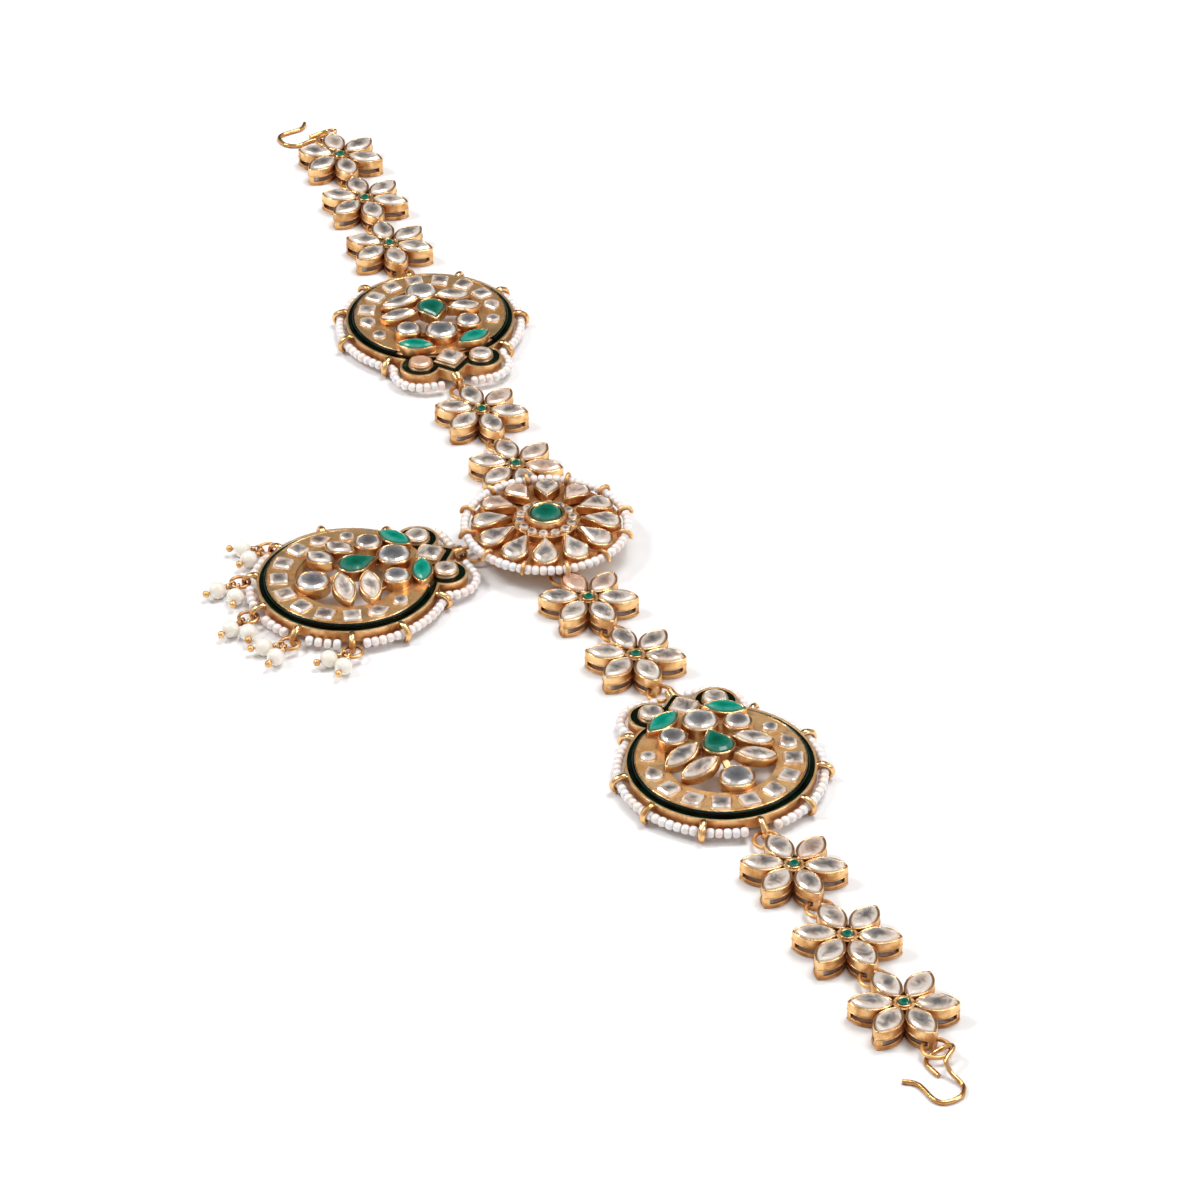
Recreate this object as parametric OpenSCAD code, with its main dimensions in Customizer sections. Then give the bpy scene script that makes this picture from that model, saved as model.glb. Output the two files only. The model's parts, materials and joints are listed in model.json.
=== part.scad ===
// Matha patti: a gold head jewel of ten flower links, three domed medallions,
// a round rosette where the pendant joins the band, and a wire hook at each end.
// It lies flat on its back. The origin is under the rosette's centre, on the floor.
// +X runs along the band to the right hook, the pendant lies toward -Y, +Z is up.

/* [Flower links] */
// Distance from a link's centre to a petal's tip
petal_tip = 11; // [10.8:0.1:11.2]
// Width of a petal over its gold rim
petal_w = 5.6; // [5.2:0.1:5.6]
// Height of a link's rims above the floor
link_h = 4.3; // [4.1:0.1:4.6]
// Thickness of the gold rims round the petals
rim = 0.4; // [0.35:0.05:0.45]

/* [Medallions] */
// Radius of a medallion's round border
medal_r = 20.1; // [20:0.1:20.2]
// Height of a medallion's border above the floor
border_h = 4.3; // [4.2:0.1:4.5]
// Radius of the two round lobes
lobe_r = 4.8; // [4.7:0.1:4.9]
// Thickness of the gold wall round a raised stone
cup_wall = 0.45; // [0.4:0.05:0.5]

/* [Rosette] */
// Distance of the twelve pear stones from the rosette's centre
pear_ring_r = 12.4; // [12.2:0.1:12.6]
// Height of the collar round the green stone
collar_h = 8.6; // [8.2:0.1:9]

/* [Chain and drops] */
// Thickness of the jump rings' wire
ring_wire = 0.9; // [0.8:0.05:0.9]
// Thickness of the strings of seed beads
bead_d = 1.9; // [1.7:0.1:1.9]
// Diameter of a pearl in the fringe
pearl_d = 3.9; // [3.6:0.1:4]
// Thickness of the hooks' wire
hook_wire = 1; // [0.8:0.1:1]

/* [Hidden] */

// Colours
gold = [0.86, 0.60, 0.26];
crystal = [0.78, 0.77, 0.76];
emerald = [0.0, 0.42, 0.30];
enamel = [0.03, 0.08, 0.05];
pearl_white = [0.95, 0.91, 0.87];

// Smoothness of true round shapes
arc_fn = 48;
// Gap that keeps loose pieces apart
clear = 0.1;
// A cut that passes right through reaches this far beyond
past = 1;

// Where the links lie: place along the band, place across it, turn of the petals
LINKS = [
    [-176.4, 8.4, -3],
    [-153.6, 7.5, -1],
    [-130.6, 6.3, -3.6],
    [-52, 2.8, 2.2],
    [-27.6, 2.6, 0],
    [27.8, -0.2, 8.8],
    [51.4, 1.9, 3.3],
    [130.7, 6.2, 4.9],
    [155.2, 7.6, 5.3],
    [178.4, 9.8, 8.7],
];

// Where the medallions lie: the two places as above, and the way their lobes point
LEFT = [-94.5, 4.6, -4.7];
RIGHT = [93.65, 4.9, -178.4];
PENDANT = [3.2, -47.4, 97.3];

// Flower link
petal_count = 6;
petal_root = 1.8;
plate_z = 2.6;
plate_t = 0.5;
slot_z = 1.05;
slot_h = 1.2;
slot_start = 4.3;
post = 0.6;
hub_r = 4;
hub_h = 3;
eye_stone_r = 1.1;
petal_stone_trim = 2.6;
petal_len = petal_tip - petal_root;
petal_mid = (petal_tip + petal_root) / 2;
stone_gap = rim + clear;

// Medallion, with its lobes toward +Y
lobe_x = 7.4;
lobe_y = 20.3;
mid_lobe_y = 20.1;
mid_lobe_side = 8.9;
border_t = 0.5;
border_z = 1.8;
floor_z = 2.6;
floor_t = 0.6;
ground_r = 18.2;
ground_z = 3;
ground_top = 5.2;
open_r = 12;
open_y = 9.8;
line_t = 0.4;
line_lap = 0.1;
line_top = 4.5;
line_from = 2.9;
inner_wall_half = 0.3;
inner_wall_z = 2.4;
inner_wall_top = 5.2;
inner_wall_y = 9.3;
lobe_gem_x = 7.3;
lobe_gem_r = 2.5;
lobe_seat = 0.4;
rhomb_y = 19.8;
rhomb_side = 5.8;
rhomb_gem = 5;
pocket_z = 4.6;
enamel_top = 4.1;

// How a stone is cut: points of its outline, upright belt, crown and table
outline_points = 10;
square_corner = 0.2;
girdle_h = 1;
crown_h = 0.7;
table_share = 0.6;
low_crown = 0.5;
centre_points = 8;
centre_crown = 0.45;
lobe_gem_points = 12;
// Depth of the hollow that a stone sits in
cup_hollow = 1.2;

// Strings and the claws that hold them
string_r = 21.6;
claw_r = 1.7;
claw_wire = 1;
string_z = claw_r + claw_wire / 2;
claw_start = 165;
claw_end = -75;
CLAWS = [48, 9, -23, -57, -90, -123, -157, 171, 132];
string_turn = 50;
string_step = 9;
string_short_steps = 4;
string_sides = 8;
lobe_string_x = 7.3;
lobe_string_y = 20.6;
lobe_string_r = 6.4;
lobe_string_start = -30;
lobe_string_sweep = 125;
lobe_string_steps = 7;
string_end_x = 4;
string_end_y = 27;

// Raised stones of a medallion. Columns: kind, place x, y, turn, length, width,
// height of the rim above the ground, depth of the cup, slope down toward the tip
KIND = 0; GX = 1; GY = 2; TURN = 3; LEN = 4; WID = 5; RISE = 6; DEPTH = 7; SLOPE = 8;
MIDDLE_CRYSTALS = [
    ["round", 0, 11.2, 0, 6.9, 6.9, 2.2, 2.6, 0],
    ["round", 0, -8.5, 0, 6.9, 6.9, 1.3, 2.4, 0],
];
SIDE_CRYSTALS = [
    ["round", 7.35, 8.3, 0, 5.4, 5.4, 1.95, 2.5, 0],
    ["marquise", 8.1, 1.65, -16, 8.3, 4.2, 2.05, 1.8, 13],
    ["marquise", 6.4, -3.85, -9, 8.6, 4.2, 2.15, 1.8, 13],
];
MIDDLE_EMERALDS = [["pear", 0, 2.4, 90, 8.4, 6.2, 2.85, 2.4, 0]];
SIDE_EMERALDS = [["marquise", 7.05, 14.65, -26, 8.5, 4, 1.4, 2.1, 2]];

// Gold bridges between the cups of one half: from x, y, z to x, y, z above the ground
MIDDLE_BRIDGES = [
    [[0, 4.5, 1.2], [0, 9, 0.5]],
    [[0, -1, 1.2], [0, -6.5, -0.9]],
];
SIDE_BRIDGES = [
    [[2, 10.6, 0.5], [5.6, 9.3, 0.3]],
    [[1.8, 2.2, 1.2], [5.5, 2.5, 0.8]],
    [[1.6, 0, 1.2], [4.4, -2.6, 0.8]],
    [[7.6, 6.6, 0.3], [8.2, 3.2, 0.1]],
];
bridge_w = 1.3;
bridge_t = 0.8;

// Stones of the crescent channel
channel_r = 15.2;
channel_step = 22.8;
channel_square = 4.1;
channel_pear_len = 5;
channel_pear_w = 3.9;
channel_round = 3.4;
pear_tip_grow = 1.6;

// Rosette
rosette_pear_count = 12;
rosette_pear_turn = 9.65;
rosette_pear_len = 8;
rosette_pear_w = 5.2;
rosette_pear_rise = 7.15;
rosette_pear_slope = 9;
rosette_cup_depth = 1.7;
rosette_cup_floor = 0.5;
back_r = 9.5;
back_t = 0.9;
back_post_r = 1;
back_post_ring = 8;
back_post_count = 6;
back_post_turn = 15;
disc_r = 16.8;
disc_z = 4.65;
disc_t = 0.65;
rounds_count = 14;
rounds_r = 5.9;
round_gem_r = 1.05;
round_points = 8;
round_depth = 0.7;
round_table = 0.55;
rounds_top = 7.1;
rounds_out = 7.4;
collar_r = 4.6;
cabochon_r = 3.4;
cabochon_seat = 6.9;
cabochon_points = 16;
cabochon_crown = 0.9;
cabochon_table = 0.65;
rosette_string_r = 18.2;
rosette_string_z = 5.7;
rosette_claw_r = 1.5;
rosette_claw_wire = 0.9;
rosette_claw_start = 200;
rosette_claw_end = -10;

// Jump rings and the eyes that they pass through
jump_r = 2.8;
jump_z = slot_z + slot_h / 2;
eye_r = 1.2;
eye_wire = 0.8;
eye_z = 1.9;
medal_eye_y = 27.6;
// A flat wire joins each of the rosette's eyes to its back disc
eye_bar_w = 1.6;
eye_bar_t = 0.7;
eye_bar_short = 0.6;
// A strap that narrows outward covers a medallion's eye
strap_z = 3.1;
strap_t = 0.9;
strap_in = [1.2, 25.7];
strap_out = [0.9, 28];
claw_jump_r = 22;
// Half the width left free in a string where a jump ring hooks on, and a drop's ring
chain_gap = 3.2;
drop_gap = 2.4;

// Pearl drops on the pendant. Columns: claw, turn of the first drop, turn of the second
DROPS = [
    [-157, -118, -72],
    [-123, -85, -35],
    [-90, -68, -24],
    [-57, -57, -105],
    [-23, -90, -46],
];
drop_ring_r = 2.1;
drop_ring_wire = 0.76;
drop_ring_z = pearl_d / 2;
drop_ring_in = 24.1;
pin_wire = 0.44;
pin_eye_r = 0.85;
pearl_at = 5.7;
wrap_r = 0.5;
ball_r = 0.8;
pearl_bore_r = 0.35;

// Route of a hook's wire, from the tail of its eye to its tip: x, y. The eye is raised
// on one side so that it passes over the jump ring on that side and under it on the other.
HOOK_ROUTE = [[-0.7, -1.1], [-4.4, -1.9], [-6.2, -1.2], [-6.8, 0.3], [-6.4, 2.4], [-5.4, 3.6],
    [-4, 3.1], [-2.1, 0.9], [0.1, 1], [2.9, 2], [4.4, 1.9], [6.1, 0.7], [6.9, -1.5], [6.7, -3.6],
    [5.2, -4.8], [2, -5.4], [0.5, -5.8], [-0.6, -6.7], [-1.6, -8.4]];
RIGHT_HOOK_Z = [0, 0, 0, 0.2, 1.5, 2.45, 2.55, 2.15, 0.9, 0.1, 0, 0, 0, 0, 0, 0, 0, 0, 0];
LEFT_HOOK_Z = [0, 0.2, 0.8, 1.6, 2.45, 1.3, 0.1, 0, 0, 0, 0, 0, 0, 0, 0, 0, 0, 0, 0];
RIGHT_HOOK = [197.5, 10.4, 0];
LEFT_HOOK = [-192.7, 5, -90];
hook_sides = 8;
hook_steps = 3;

// Points round a stone's outline, each list running anticlockwise
function ring_points(r, n) = [for (i = [0 : n - 1]) r * [cos(360 * i / n), sin(360 * i / n)]];

function vesica_radius(l, w) = (l * l + w * w) / (4 * w);

function vesica_points(l, w, n) =
    let (r = vesica_radius(l, w), c = r - w / 2, half = asin(l / 2 / r), step = 4 * half / n)
    [for (side = [1, -1]) for (i = [0 : n / 2 - 1])
        let (a = half - step * i) side * [r * sin(a), r * cos(a) - c]];

function pear_points(l, w, n) =
    let (r = w / 2, c = r - l / 2, touch = acos(r / (l - r)), step = (360 - 2 * touch) / (n - 2))
    concat([[l / 2, 0]],
        [for (i = [0 : n - 2]) let (a = touch + step * i) [c + r * cos(a), r * sin(a)]]);

function square_points(s, corner) =
    let (h = s / 2, k = h - corner)
    [[h, -k], [h, k], [k, h], [-k, h], [-h, k], [-h, -k], [-k, -h], [k, -h]];

function gem_points(kind, l, w) =
    kind == "marquise" ? vesica_points(l, w, outline_points)
    : kind == "pear" ? pear_points(l, w, outline_points + 1)
    : kind == "square" ? square_points(l, square_corner * l)
    : ring_points(l / 2, outline_points);

// Outlines of the gold round a stone, each with its length along X
module vesica(l, w, grow) {
    r = vesica_radius(l, w);
    intersection() {
        translate([0, r - w / 2]) circle(r + grow, $fn = 2 * arc_fn);
        translate([0, w / 2 - r]) circle(r + grow, $fn = 2 * arc_fn);
    }
}

module pear(l, w, grow) {
    r = w / 2;
    c = r - l / 2;
    touch = acos(r / (l - r));
    edge = 0.97 * (r + grow);
    translate([c, 0]) circle(r + grow, $fn = arc_fn);
    polygon([[c, 0], [c + edge * cos(touch), -edge * sin(touch)],
        [l / 2 + pear_tip_grow * grow, 0], [c + edge * cos(touch), edge * sin(touch)]]);
}

module gem_outline(kind, l, w, grow) {
    if (kind == "marquise") vesica(l, w, grow);
    if (kind == "pear") pear(l, w, grow);
    if (kind == "square") square(l + 2 * grow, center = true);
    if (kind == "round") circle(l / 2 + grow, $fn = arc_fn);
}

// A cut stone: upright girdle, a belt of crown facets and a flat table
module stone(outline, girdle, crown, table) {
    n = len(outline);
    rows = [[1, 0], [1, girdle], [table, girdle + crown]];
    points = [for (row = rows) for (p = outline) [p[0] * row[0], p[1] * row[0], row[1]]];
    sides = [for (k = [0, 1]) for (i = [0 : n - 1])
        let (j = (i + 1) % n) [k * n + i, k * n + n + i, k * n + n + j, k * n + j]];
    polyhedron(points, concat([[for (i = [0 : n - 1]) i]], sides,
        [[for (i = [n - 1 : -1 : 0]) 2 * n + i]]));
}

// A gold cup with a flat floor, open at the top, whose rim is at height 0
module cup(kind, l, w, depth, floor_thick) {
    translate([0, 0, -depth]) difference() {
        linear_extrude(depth) gem_outline(kind, l, w, cup_wall);
        translate([0, 0, floor_thick]) linear_extrude(depth) gem_outline(kind, l, w, 0);
    }
}

// A torus in the XY plane, or part of one
module wire_ring(r, wire, sweep = 360) {
    rotate_extrude(angle = sweep, $fn = arc_fn) translate([r, 0]) circle(wire / 2, $fn = arc_fn);
}

// A ring that stands upright with its hole facing across the band
module upright_ring(r, wire) {
    rotate([90, 0, 0]) wire_ring(r, wire);
}

// A flat bar from point a to point b
module bar(a, b, w, t) {
    d = b - a;
    flat = norm([d[0], d[1]]);
    translate(a) rotate([0, -atan2(d[2], flat), atan2(d[1], d[0])])
        translate([0, -w / 2, -t / 2]) cube([norm(d), w, t]);
}

// A tube of round section swept along a list of points
function path_dir(p, i) =
    let (d = p[min(i + 1, len(p) - 1)] - p[max(i - 1, 0)]) d / norm(d);

module tube(path, r, sides) {
    rings = len(path);
    points = [for (i = [0 : rings - 1])
        let (d = path_dir(path, i), flat = norm([d[0], d[1]]),
            across = [d[1], -d[0], 0] / flat, up = cross(across, d))
        for (k = [0 : sides - 1]) let (a = 360 * k / sides)
            path[i] + r * (cos(a) * across + sin(a) * up)];
    sides_faces = [for (i = [0 : rings - 2]) for (k = [0 : sides - 1])
        let (m = (k + 1) % sides)
        [i * sides + k, (i + 1) * sides + k, (i + 1) * sides + m, i * sides + m]];
    polyhedron(points, concat([[for (k = [0 : sides - 1]) k]], sides_faces,
        [[for (k = [sides - 1 : -1 : 0]) (rings - 1) * sides + k]]), convexity = 6);
}

function polar(r, a) = [r * cos(a), r * sin(a)];

function place(at, p) = let (a = at[2]) [at[0], at[1]]
    + [p[0] * cos(a) - p[1] * sin(a), p[0] * sin(a) + p[1] * cos(a)];

// Puts a piece drawn round its own centre at its place in the jewel
module put(at, lobes = false) {
    translate([at[0], at[1], 0]) rotate(at[2] - (lobes ? 90 : 0)) children();
}

// Flower links
module petal_shell() {
    translate([petal_mid, 0, 0]) difference() {
        linear_extrude(link_h) vesica(petal_len, petal_w, 0);
        translate([0, 0, -past]) linear_extrude(plate_z + past) vesica(petal_len, petal_w, -rim);
        translate([0, 0, plate_z + plate_t]) linear_extrude(link_h) vesica(petal_len, petal_w, -rim);
    }
}

module slot_ring() {
    difference() {
        cylinder(h = slot_h, r = petal_tip - post, $fn = 2 * arc_fn);
        translate([0, 0, -past]) cylinder(h = slot_h + 2 * past, r = slot_start, $fn = 2 * arc_fn);
    }
}

module flower_link(i) {
    color(gold) put(LINKS[i]) difference() {
        union() {
            for (k = [0 : petal_count - 1]) rotate(360 * k / petal_count) petal_shell();
            cylinder(h = hub_h, r = hub_r, $fn = arc_fn);
            cylinder(h = link_h - clear, r = petal_root + rim, $fn = arc_fn);
        }
        translate([0, 0, slot_z]) slot_ring();
        translate([0, 0, hub_h + clear]) cylinder(h = link_h, r = eye_stone_r + clear, $fn = arc_fn);
    }
}

module flower_stones(i) {
    seat = plate_z + plate_t + clear;
    l = petal_len - petal_stone_trim * stone_gap;
    w = petal_w - 2 * stone_gap;
    color(crystal) put(LINKS[i]) for (k = [0 : petal_count - 1])
        rotate(360 * k / petal_count) translate([petal_mid, 0, seat])
            stone(vesica_points(l, w, outline_points), link_h - seat - clear, crown_h, table_share);
}

module flower_centres() {
    seat = hub_h + 2 * clear;
    color(emerald) for (at = LINKS) put(at) translate([0, 0, seat])
        stone(ring_points(eye_stone_r, centre_points), link_h - seat, centre_crown, table_share);
}

// Medallion outlines
module border_outline(grow) {
    circle(medal_r + grow, $fn = 2 * arc_fn);
    for (side = [-1, 1]) translate([side * lobe_x, lobe_y]) circle(lobe_r + grow, $fn = arc_fn);
    translate([0, mid_lobe_y]) rotate(45) square(mid_lobe_side + 2 * grow, center = true);
}

module ground_outline(grow) {
    circle(ground_r + grow, $fn = 2 * arc_fn);
    for (side = [-1, 1])
        translate([side * lobe_gem_x, lobe_y]) circle(lobe_gem_r + lobe_seat + grow, $fn = arc_fn);
    translate([0, rhomb_y]) rotate(45) square(rhomb_side + 2 * grow, center = true);
}

module opening_outline() {
    intersection() {
        circle(open_r, $fn = 2 * arc_fn);
        translate([-open_r - past, -open_r - past]) square([2 * open_r + 2 * past, open_r + past + open_y]);
    }
}

// Stones sunk in the ground: calls its outline or stone for each
function channel_kind(k) = abs(k) < 4 ? "square" : abs(k) == 4 ? "pear" : "round";
function channel_len(k) = abs(k) < 4 ? channel_square : abs(k) == 4 ? channel_pear_len : channel_round;
function channel_wid(k) = abs(k) == 4 ? channel_pear_w : channel_len(k);

module at_channel(k) {
    turn = abs(k) == 4 ? sign(k) * 90 : 0;
    rotate(channel_step * k - 90) translate([channel_r, 0]) rotate(turn) children();
}

module sunk_outlines(grow) {
    for (k = [-5 : 5])
        at_channel(k) gem_outline(channel_kind(k), channel_len(k), channel_wid(k), grow);
    for (side = [-1, 1])
        translate([side * lobe_gem_x, lobe_y]) circle(lobe_gem_r + grow, $fn = arc_fn);
    translate([0, rhomb_y]) rotate(45) square(rhomb_gem + 2 * grow, center = true);
}

module sunk_stones() {
    girdle = ground_top - pocket_z;
    translate([0, 0, pocket_z + clear]) {
        for (k = [-5 : 5]) at_channel(k)
            stone(gem_points(channel_kind(k), channel_len(k), channel_wid(k)), girdle,
                low_crown, table_share);
        for (side = [-1, 1]) translate([side * lobe_gem_x, lobe_y])
            stone(ring_points(lobe_gem_r, lobe_gem_points), girdle, crown_h, table_share);
        translate([0, rhomb_y]) rotate(45)
            stone(square_points(rhomb_gem, square_corner * rhomb_gem), girdle, crown_h, table_share);
    }
}

// Puts a raised stone's cup or stone at its place on the dome
module at_gem(gem) {
    translate([gem[GX], gem[GY], ground_top + gem[RISE]])
        rotate(gem[TURN]) rotate([0, gem[SLOPE], 0]) children();
}

module gem_cup(gem) {
    at_gem(gem) cup(gem[KIND], gem[LEN], gem[WID], gem[DEPTH], gem[DEPTH] - cup_hollow);
}

module gem_stone(gem) {
    slim = gem[KIND] == "round" ? 2 * clear : gem[KIND] == "pear" ? 5 * clear : 3 * clear;
    at_gem(gem) translate([0, 0, clear - cup_hollow])
        stone(gem_points(gem[KIND], gem[LEN] - slim, gem[WID] - slim), girdle_h,
            crown_h, table_share);
}

module both_halves() {
    children();
    mirror([1, 0, 0]) children();
}

// The medallion's flat metalwork
module medallion_base() {
    translate([0, 0, border_z]) linear_extrude(border_h - border_z) difference() {
        border_outline(0);
        border_outline(-border_t);
    }
    translate([0, 0, floor_z]) linear_extrude(floor_t) difference() {
        border_outline(-border_t / 2);
        opening_outline();
    }
    difference() {
        translate([0, 0, ground_z]) linear_extrude(ground_top - ground_z) difference() {
            ground_outline(line_lap - line_t);
            opening_outline();
        }
        translate([0, 0, pocket_z]) linear_extrude(border_h) sunk_outlines(clear);
    }
    translate([0, 0, line_from]) linear_extrude(line_top - line_from) difference() {
        ground_outline(0);
        ground_outline(-line_t);
    }
    translate([0, 0, inner_wall_z]) linear_extrude(inner_wall_top - inner_wall_z) intersection() {
        difference() {
            circle(open_r + inner_wall_half, $fn = 2 * arc_fn);
            circle(open_r - inner_wall_half, $fn = 2 * arc_fn);
        }
        translate([-medal_r, -medal_r]) square([2 * medal_r, medal_r + inner_wall_y]);
    }
}

// The domed cluster of cups and the bridges between them
module medallion_cluster() {
    for (gem = concat(MIDDLE_CRYSTALS, MIDDLE_EMERALDS)) gem_cup(gem);
    for (ends = MIDDLE_BRIDGES) ground_bar(ends);
    both_halves() {
        for (gem = concat(SIDE_CRYSTALS, SIDE_EMERALDS)) gem_cup(gem);
        for (ends = SIDE_BRIDGES) ground_bar(ends);
    }
}

module ground_bar(ends) {
    lift = [0, 0, ground_top];
    bar(ends[0] + lift, ends[1] + lift, bridge_w, bridge_t);
}

// A claw that starts at the border and curls out and round the string of beads
module claw(at_r, at_z, r, wire, start, end) {
    translate([at_r, 0, at_z]) rotate([90, 0, 0]) rotate(end) wire_ring(r, wire, start - end);
}

// The eye beyond the middle lobe, with the tapered strap that covers it
module medallion_eye() {
    translate([0, medal_eye_y, eye_z]) rotate(90) upright_ring(eye_r, eye_wire);
    translate([0, 0, strap_z]) linear_extrude(strap_t)
        polygon([[-strap_in[0], strap_in[1]], strap_in, strap_out, [-strap_out[0], strap_out[1]]]);
}

module medallion(at) {
    color(gold) put(at, true) {
        medallion_base();
        medallion_cluster();
        medallion_eye();
        for (a = CLAWS) rotate(a)
            claw(string_r, string_z, claw_r, claw_wire, claw_start, claw_end);
    }
}

module medallion_enamel(at) {
    color(enamel) put(at, true) translate([0, 0, floor_z + floor_t + clear])
        linear_extrude(enamel_top - floor_z - floor_t - clear) difference() {
            border_outline(-border_t - clear);
            ground_outline(clear);
            both_halves() for (gem = SIDE_EMERALDS) translate([gem[GX], gem[GY]])
                rotate(gem[TURN]) vesica(gem[LEN], gem[WID], cup_wall + 3 * clear);
        }
}

module crystals(at) {
    color(crystal) put(at, true) {
        for (gem = MIDDLE_CRYSTALS) gem_stone(gem);
        both_halves() for (gem = SIDE_CRYSTALS) gem_stone(gem);
        sunk_stones();
    }
}

module emeralds(at) {
    color(emerald) put(at, true) {
        for (gem = MIDDLE_EMERALDS) gem_stone(gem);
        both_halves() for (gem = SIDE_EMERALDS) gem_stone(gem);
    }
}

// Strings of seed beads, as tubes: a run along the border between two angles,
// and a run from the last claw round a lobe to the middle
function arc_route(a, b, n) =
    [for (i = [0 : n]) let (t = a + (b - a) * i / n) concat(polar(string_r, t), [string_z])];

function lobe_route() =
    [for (i = [0 : lobe_string_steps])
        let (t = lobe_string_start + lobe_string_sweep * i / lobe_string_steps)
        concat([lobe_string_x, lobe_string_y] + polar(lobe_string_r, t), [string_z])];

module string_tube(route) {
    tube(route, bead_d / 2, string_sides);
}

module string_side(gaps, free) {
    last = len(gaps) - 1;
    spare = asin(free / string_r);
    for (i = [0 : 1 : last - 1])
        string_tube(arc_route(gaps[i] + spare, gaps[i + 1] - spare, string_short_steps));
    start = gaps[last] + spare;
    steps = ceil((string_turn - start) / string_step);
    string_tube(concat(arc_route(start, string_turn, steps), lobe_route(),
        [[string_end_x, string_end_y, string_z]]));
}

module medallion_beads(at, gaps, free) {
    color(pearl_white) put(at, true) both_halves() string_side(gaps, free);
}

// Rosette
module at_rosette_pear(k) {
    rotate(rosette_pear_turn + 360 * k / rosette_pear_count)
        translate([pear_ring_r, 0, rosette_pear_rise]) rotate([0, rosette_pear_slope, 0])
            rotate(180) children();
}

module at_round(k) {
    rotate(360 * k / rounds_count) translate([rounds_r, 0, rounds_top]) children();
}

module rosette_eye(toward) {
    r = norm(toward);
    rotate(atan2(toward[1], toward[0])) {
        translate([r, 0, eye_z]) upright_ring(eye_r, eye_wire);
        translate([back_r - past, -eye_bar_w / 2, clear])
            cube([r - back_r + past - eye_bar_short, eye_bar_w, eye_bar_t]);
    }
}

// Back disc, posts and the front disc that carries the pear cups
module rosette_discs() {
    cylinder(h = back_t, r = back_r, $fn = arc_fn);
    for (k = [0 : back_post_count - 1]) rotate(360 * k / back_post_count + back_post_turn)
        translate([back_post_ring, 0, back_t / 2])
            cylinder(h = disc_z, r = back_post_r, $fn = arc_fn);
    translate([0, 0, disc_z]) cylinder(h = disc_t, r = disc_r, $fn = 2 * arc_fn);
}

// The raised middle with its pockets for the round stones and the green one
module rosette_middle() {
    from = disc_z + disc_t / 2;
    difference() {
        translate([0, 0, from]) union() {
            cylinder(h = rounds_top - from, r = rounds_out, $fn = arc_fn);
            cylinder(h = collar_h - from, r = collar_r, $fn = arc_fn);
        }
        for (k = [0 : rounds_count - 1]) at_round(k) translate([0, 0, -round_depth])
            cylinder(h = past, r = round_gem_r + clear, $fn = arc_fn);
        translate([0, 0, cabochon_seat]) cylinder(h = collar_h, r = cabochon_r + clear, $fn = arc_fn);
    }
}

module rosette_rim() {
    for (k = [0 : rosette_pear_count - 1]) {
        at_rosette_pear(k)
            cup("pear", rosette_pear_len, rosette_pear_w, rosette_cup_depth, rosette_cup_floor);
        rotate(rosette_pear_turn + 360 * (k + 0.5) / rosette_pear_count)
            claw(rosette_string_r, rosette_string_z, rosette_claw_r, rosette_claw_wire,
                rosette_claw_start, rosette_claw_end);
    }
}

module rosette() {
    color(gold) {
        rosette_discs();
        rosette_middle();
        rosette_rim();
        for (p = [ROSETTE_EYE_LEFT, ROSETTE_EYE_RIGHT, ROSETTE_EYE_PENDANT]) rosette_eye(p);
    }
}

module rosette_pears() {
    slim = 5 * clear;
    outline = pear_points(rosette_pear_len - slim, rosette_pear_w - slim, outline_points + 1);
    color(crystal) for (k = [0 : rosette_pear_count - 1]) at_rosette_pear(k)
        translate([0, 0, clear - cup_hollow]) stone(outline, girdle_h, crown_h, table_share);
}

module rosette_rounds() {
    color(crystal) for (k = [0 : rounds_count - 1]) at_round(k)
        translate([0, 0, clear - round_depth])
            stone(ring_points(round_gem_r, round_points), round_depth, low_crown, round_table);
}

module rosette_emerald() {
    seat = cabochon_seat + clear;
    color(emerald) translate([0, 0, seat])
        stone(ring_points(cabochon_r, cabochon_points), collar_h - seat, cabochon_crown, cabochon_table);
}

module rosette_beads() {
    color(pearl_white) translate([0, 0, rosette_string_z]) rotate_extrude($fn = 2 * arc_fn)
        translate([rosette_string_r, 0]) circle(bead_d / 2, $fn = arc_fn);
}

// Jump rings. A petal's tip seen from the next piece, and the ring's centre between them
function petal_tip_at(i, facing) = place(LINKS[i], [facing * petal_tip, 0]);
function unit(v) = v / norm(v);

// A ring that holds a tip post and passes through an eye or claw at the point given
function ring_beyond(eye, tip) = eye + jump_r * unit(tip - eye);

// The rosette's eyes stand so far in that the ring still clears the petal's post
reach_in = 4.1;
function rosette_eye_for(tip) = tip - reach_in * unit(tip);
ROSETTE_EYE_LEFT = rosette_eye_for(petal_tip_at(4, 1));
ROSETTE_EYE_RIGHT = rosette_eye_for(petal_tip_at(5, -1));
pendant_eye = place([PENDANT[0], PENDANT[1], PENDANT[2] - 90], [0, medal_eye_y]);
ROSETTE_EYE_PENDANT = pendant_eye - 2 * jump_r * unit(pendant_eye);

function medal_point(at, p) = place([at[0], at[1], at[2] - 90], p);
function between(a, b) = (a + b) / 2;

LINK_PAIRS = [[0, 1], [1, 2], [3, 4], [5, 6], [7, 8], [8, 9]];
EYE_RINGS = [
    [medal_point(LEFT, [0, -claw_jump_r]), petal_tip_at(2, 1)],
    [medal_point(LEFT, [0, medal_eye_y]), petal_tip_at(3, -1)],
    [ROSETTE_EYE_LEFT, petal_tip_at(4, 1)],
    [ROSETTE_EYE_RIGHT, petal_tip_at(5, -1)],
    [medal_point(RIGHT, [0, medal_eye_y]), petal_tip_at(6, 1)],
    [medal_point(RIGHT, [0, -claw_jump_r]), petal_tip_at(7, -1)],
    [ROSETTE_EYE_PENDANT, pendant_eye],
];
left_end = petal_tip_at(0, -1);
right_end = petal_tip_at(9, 1);
end_ring_out = 1.2;

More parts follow.
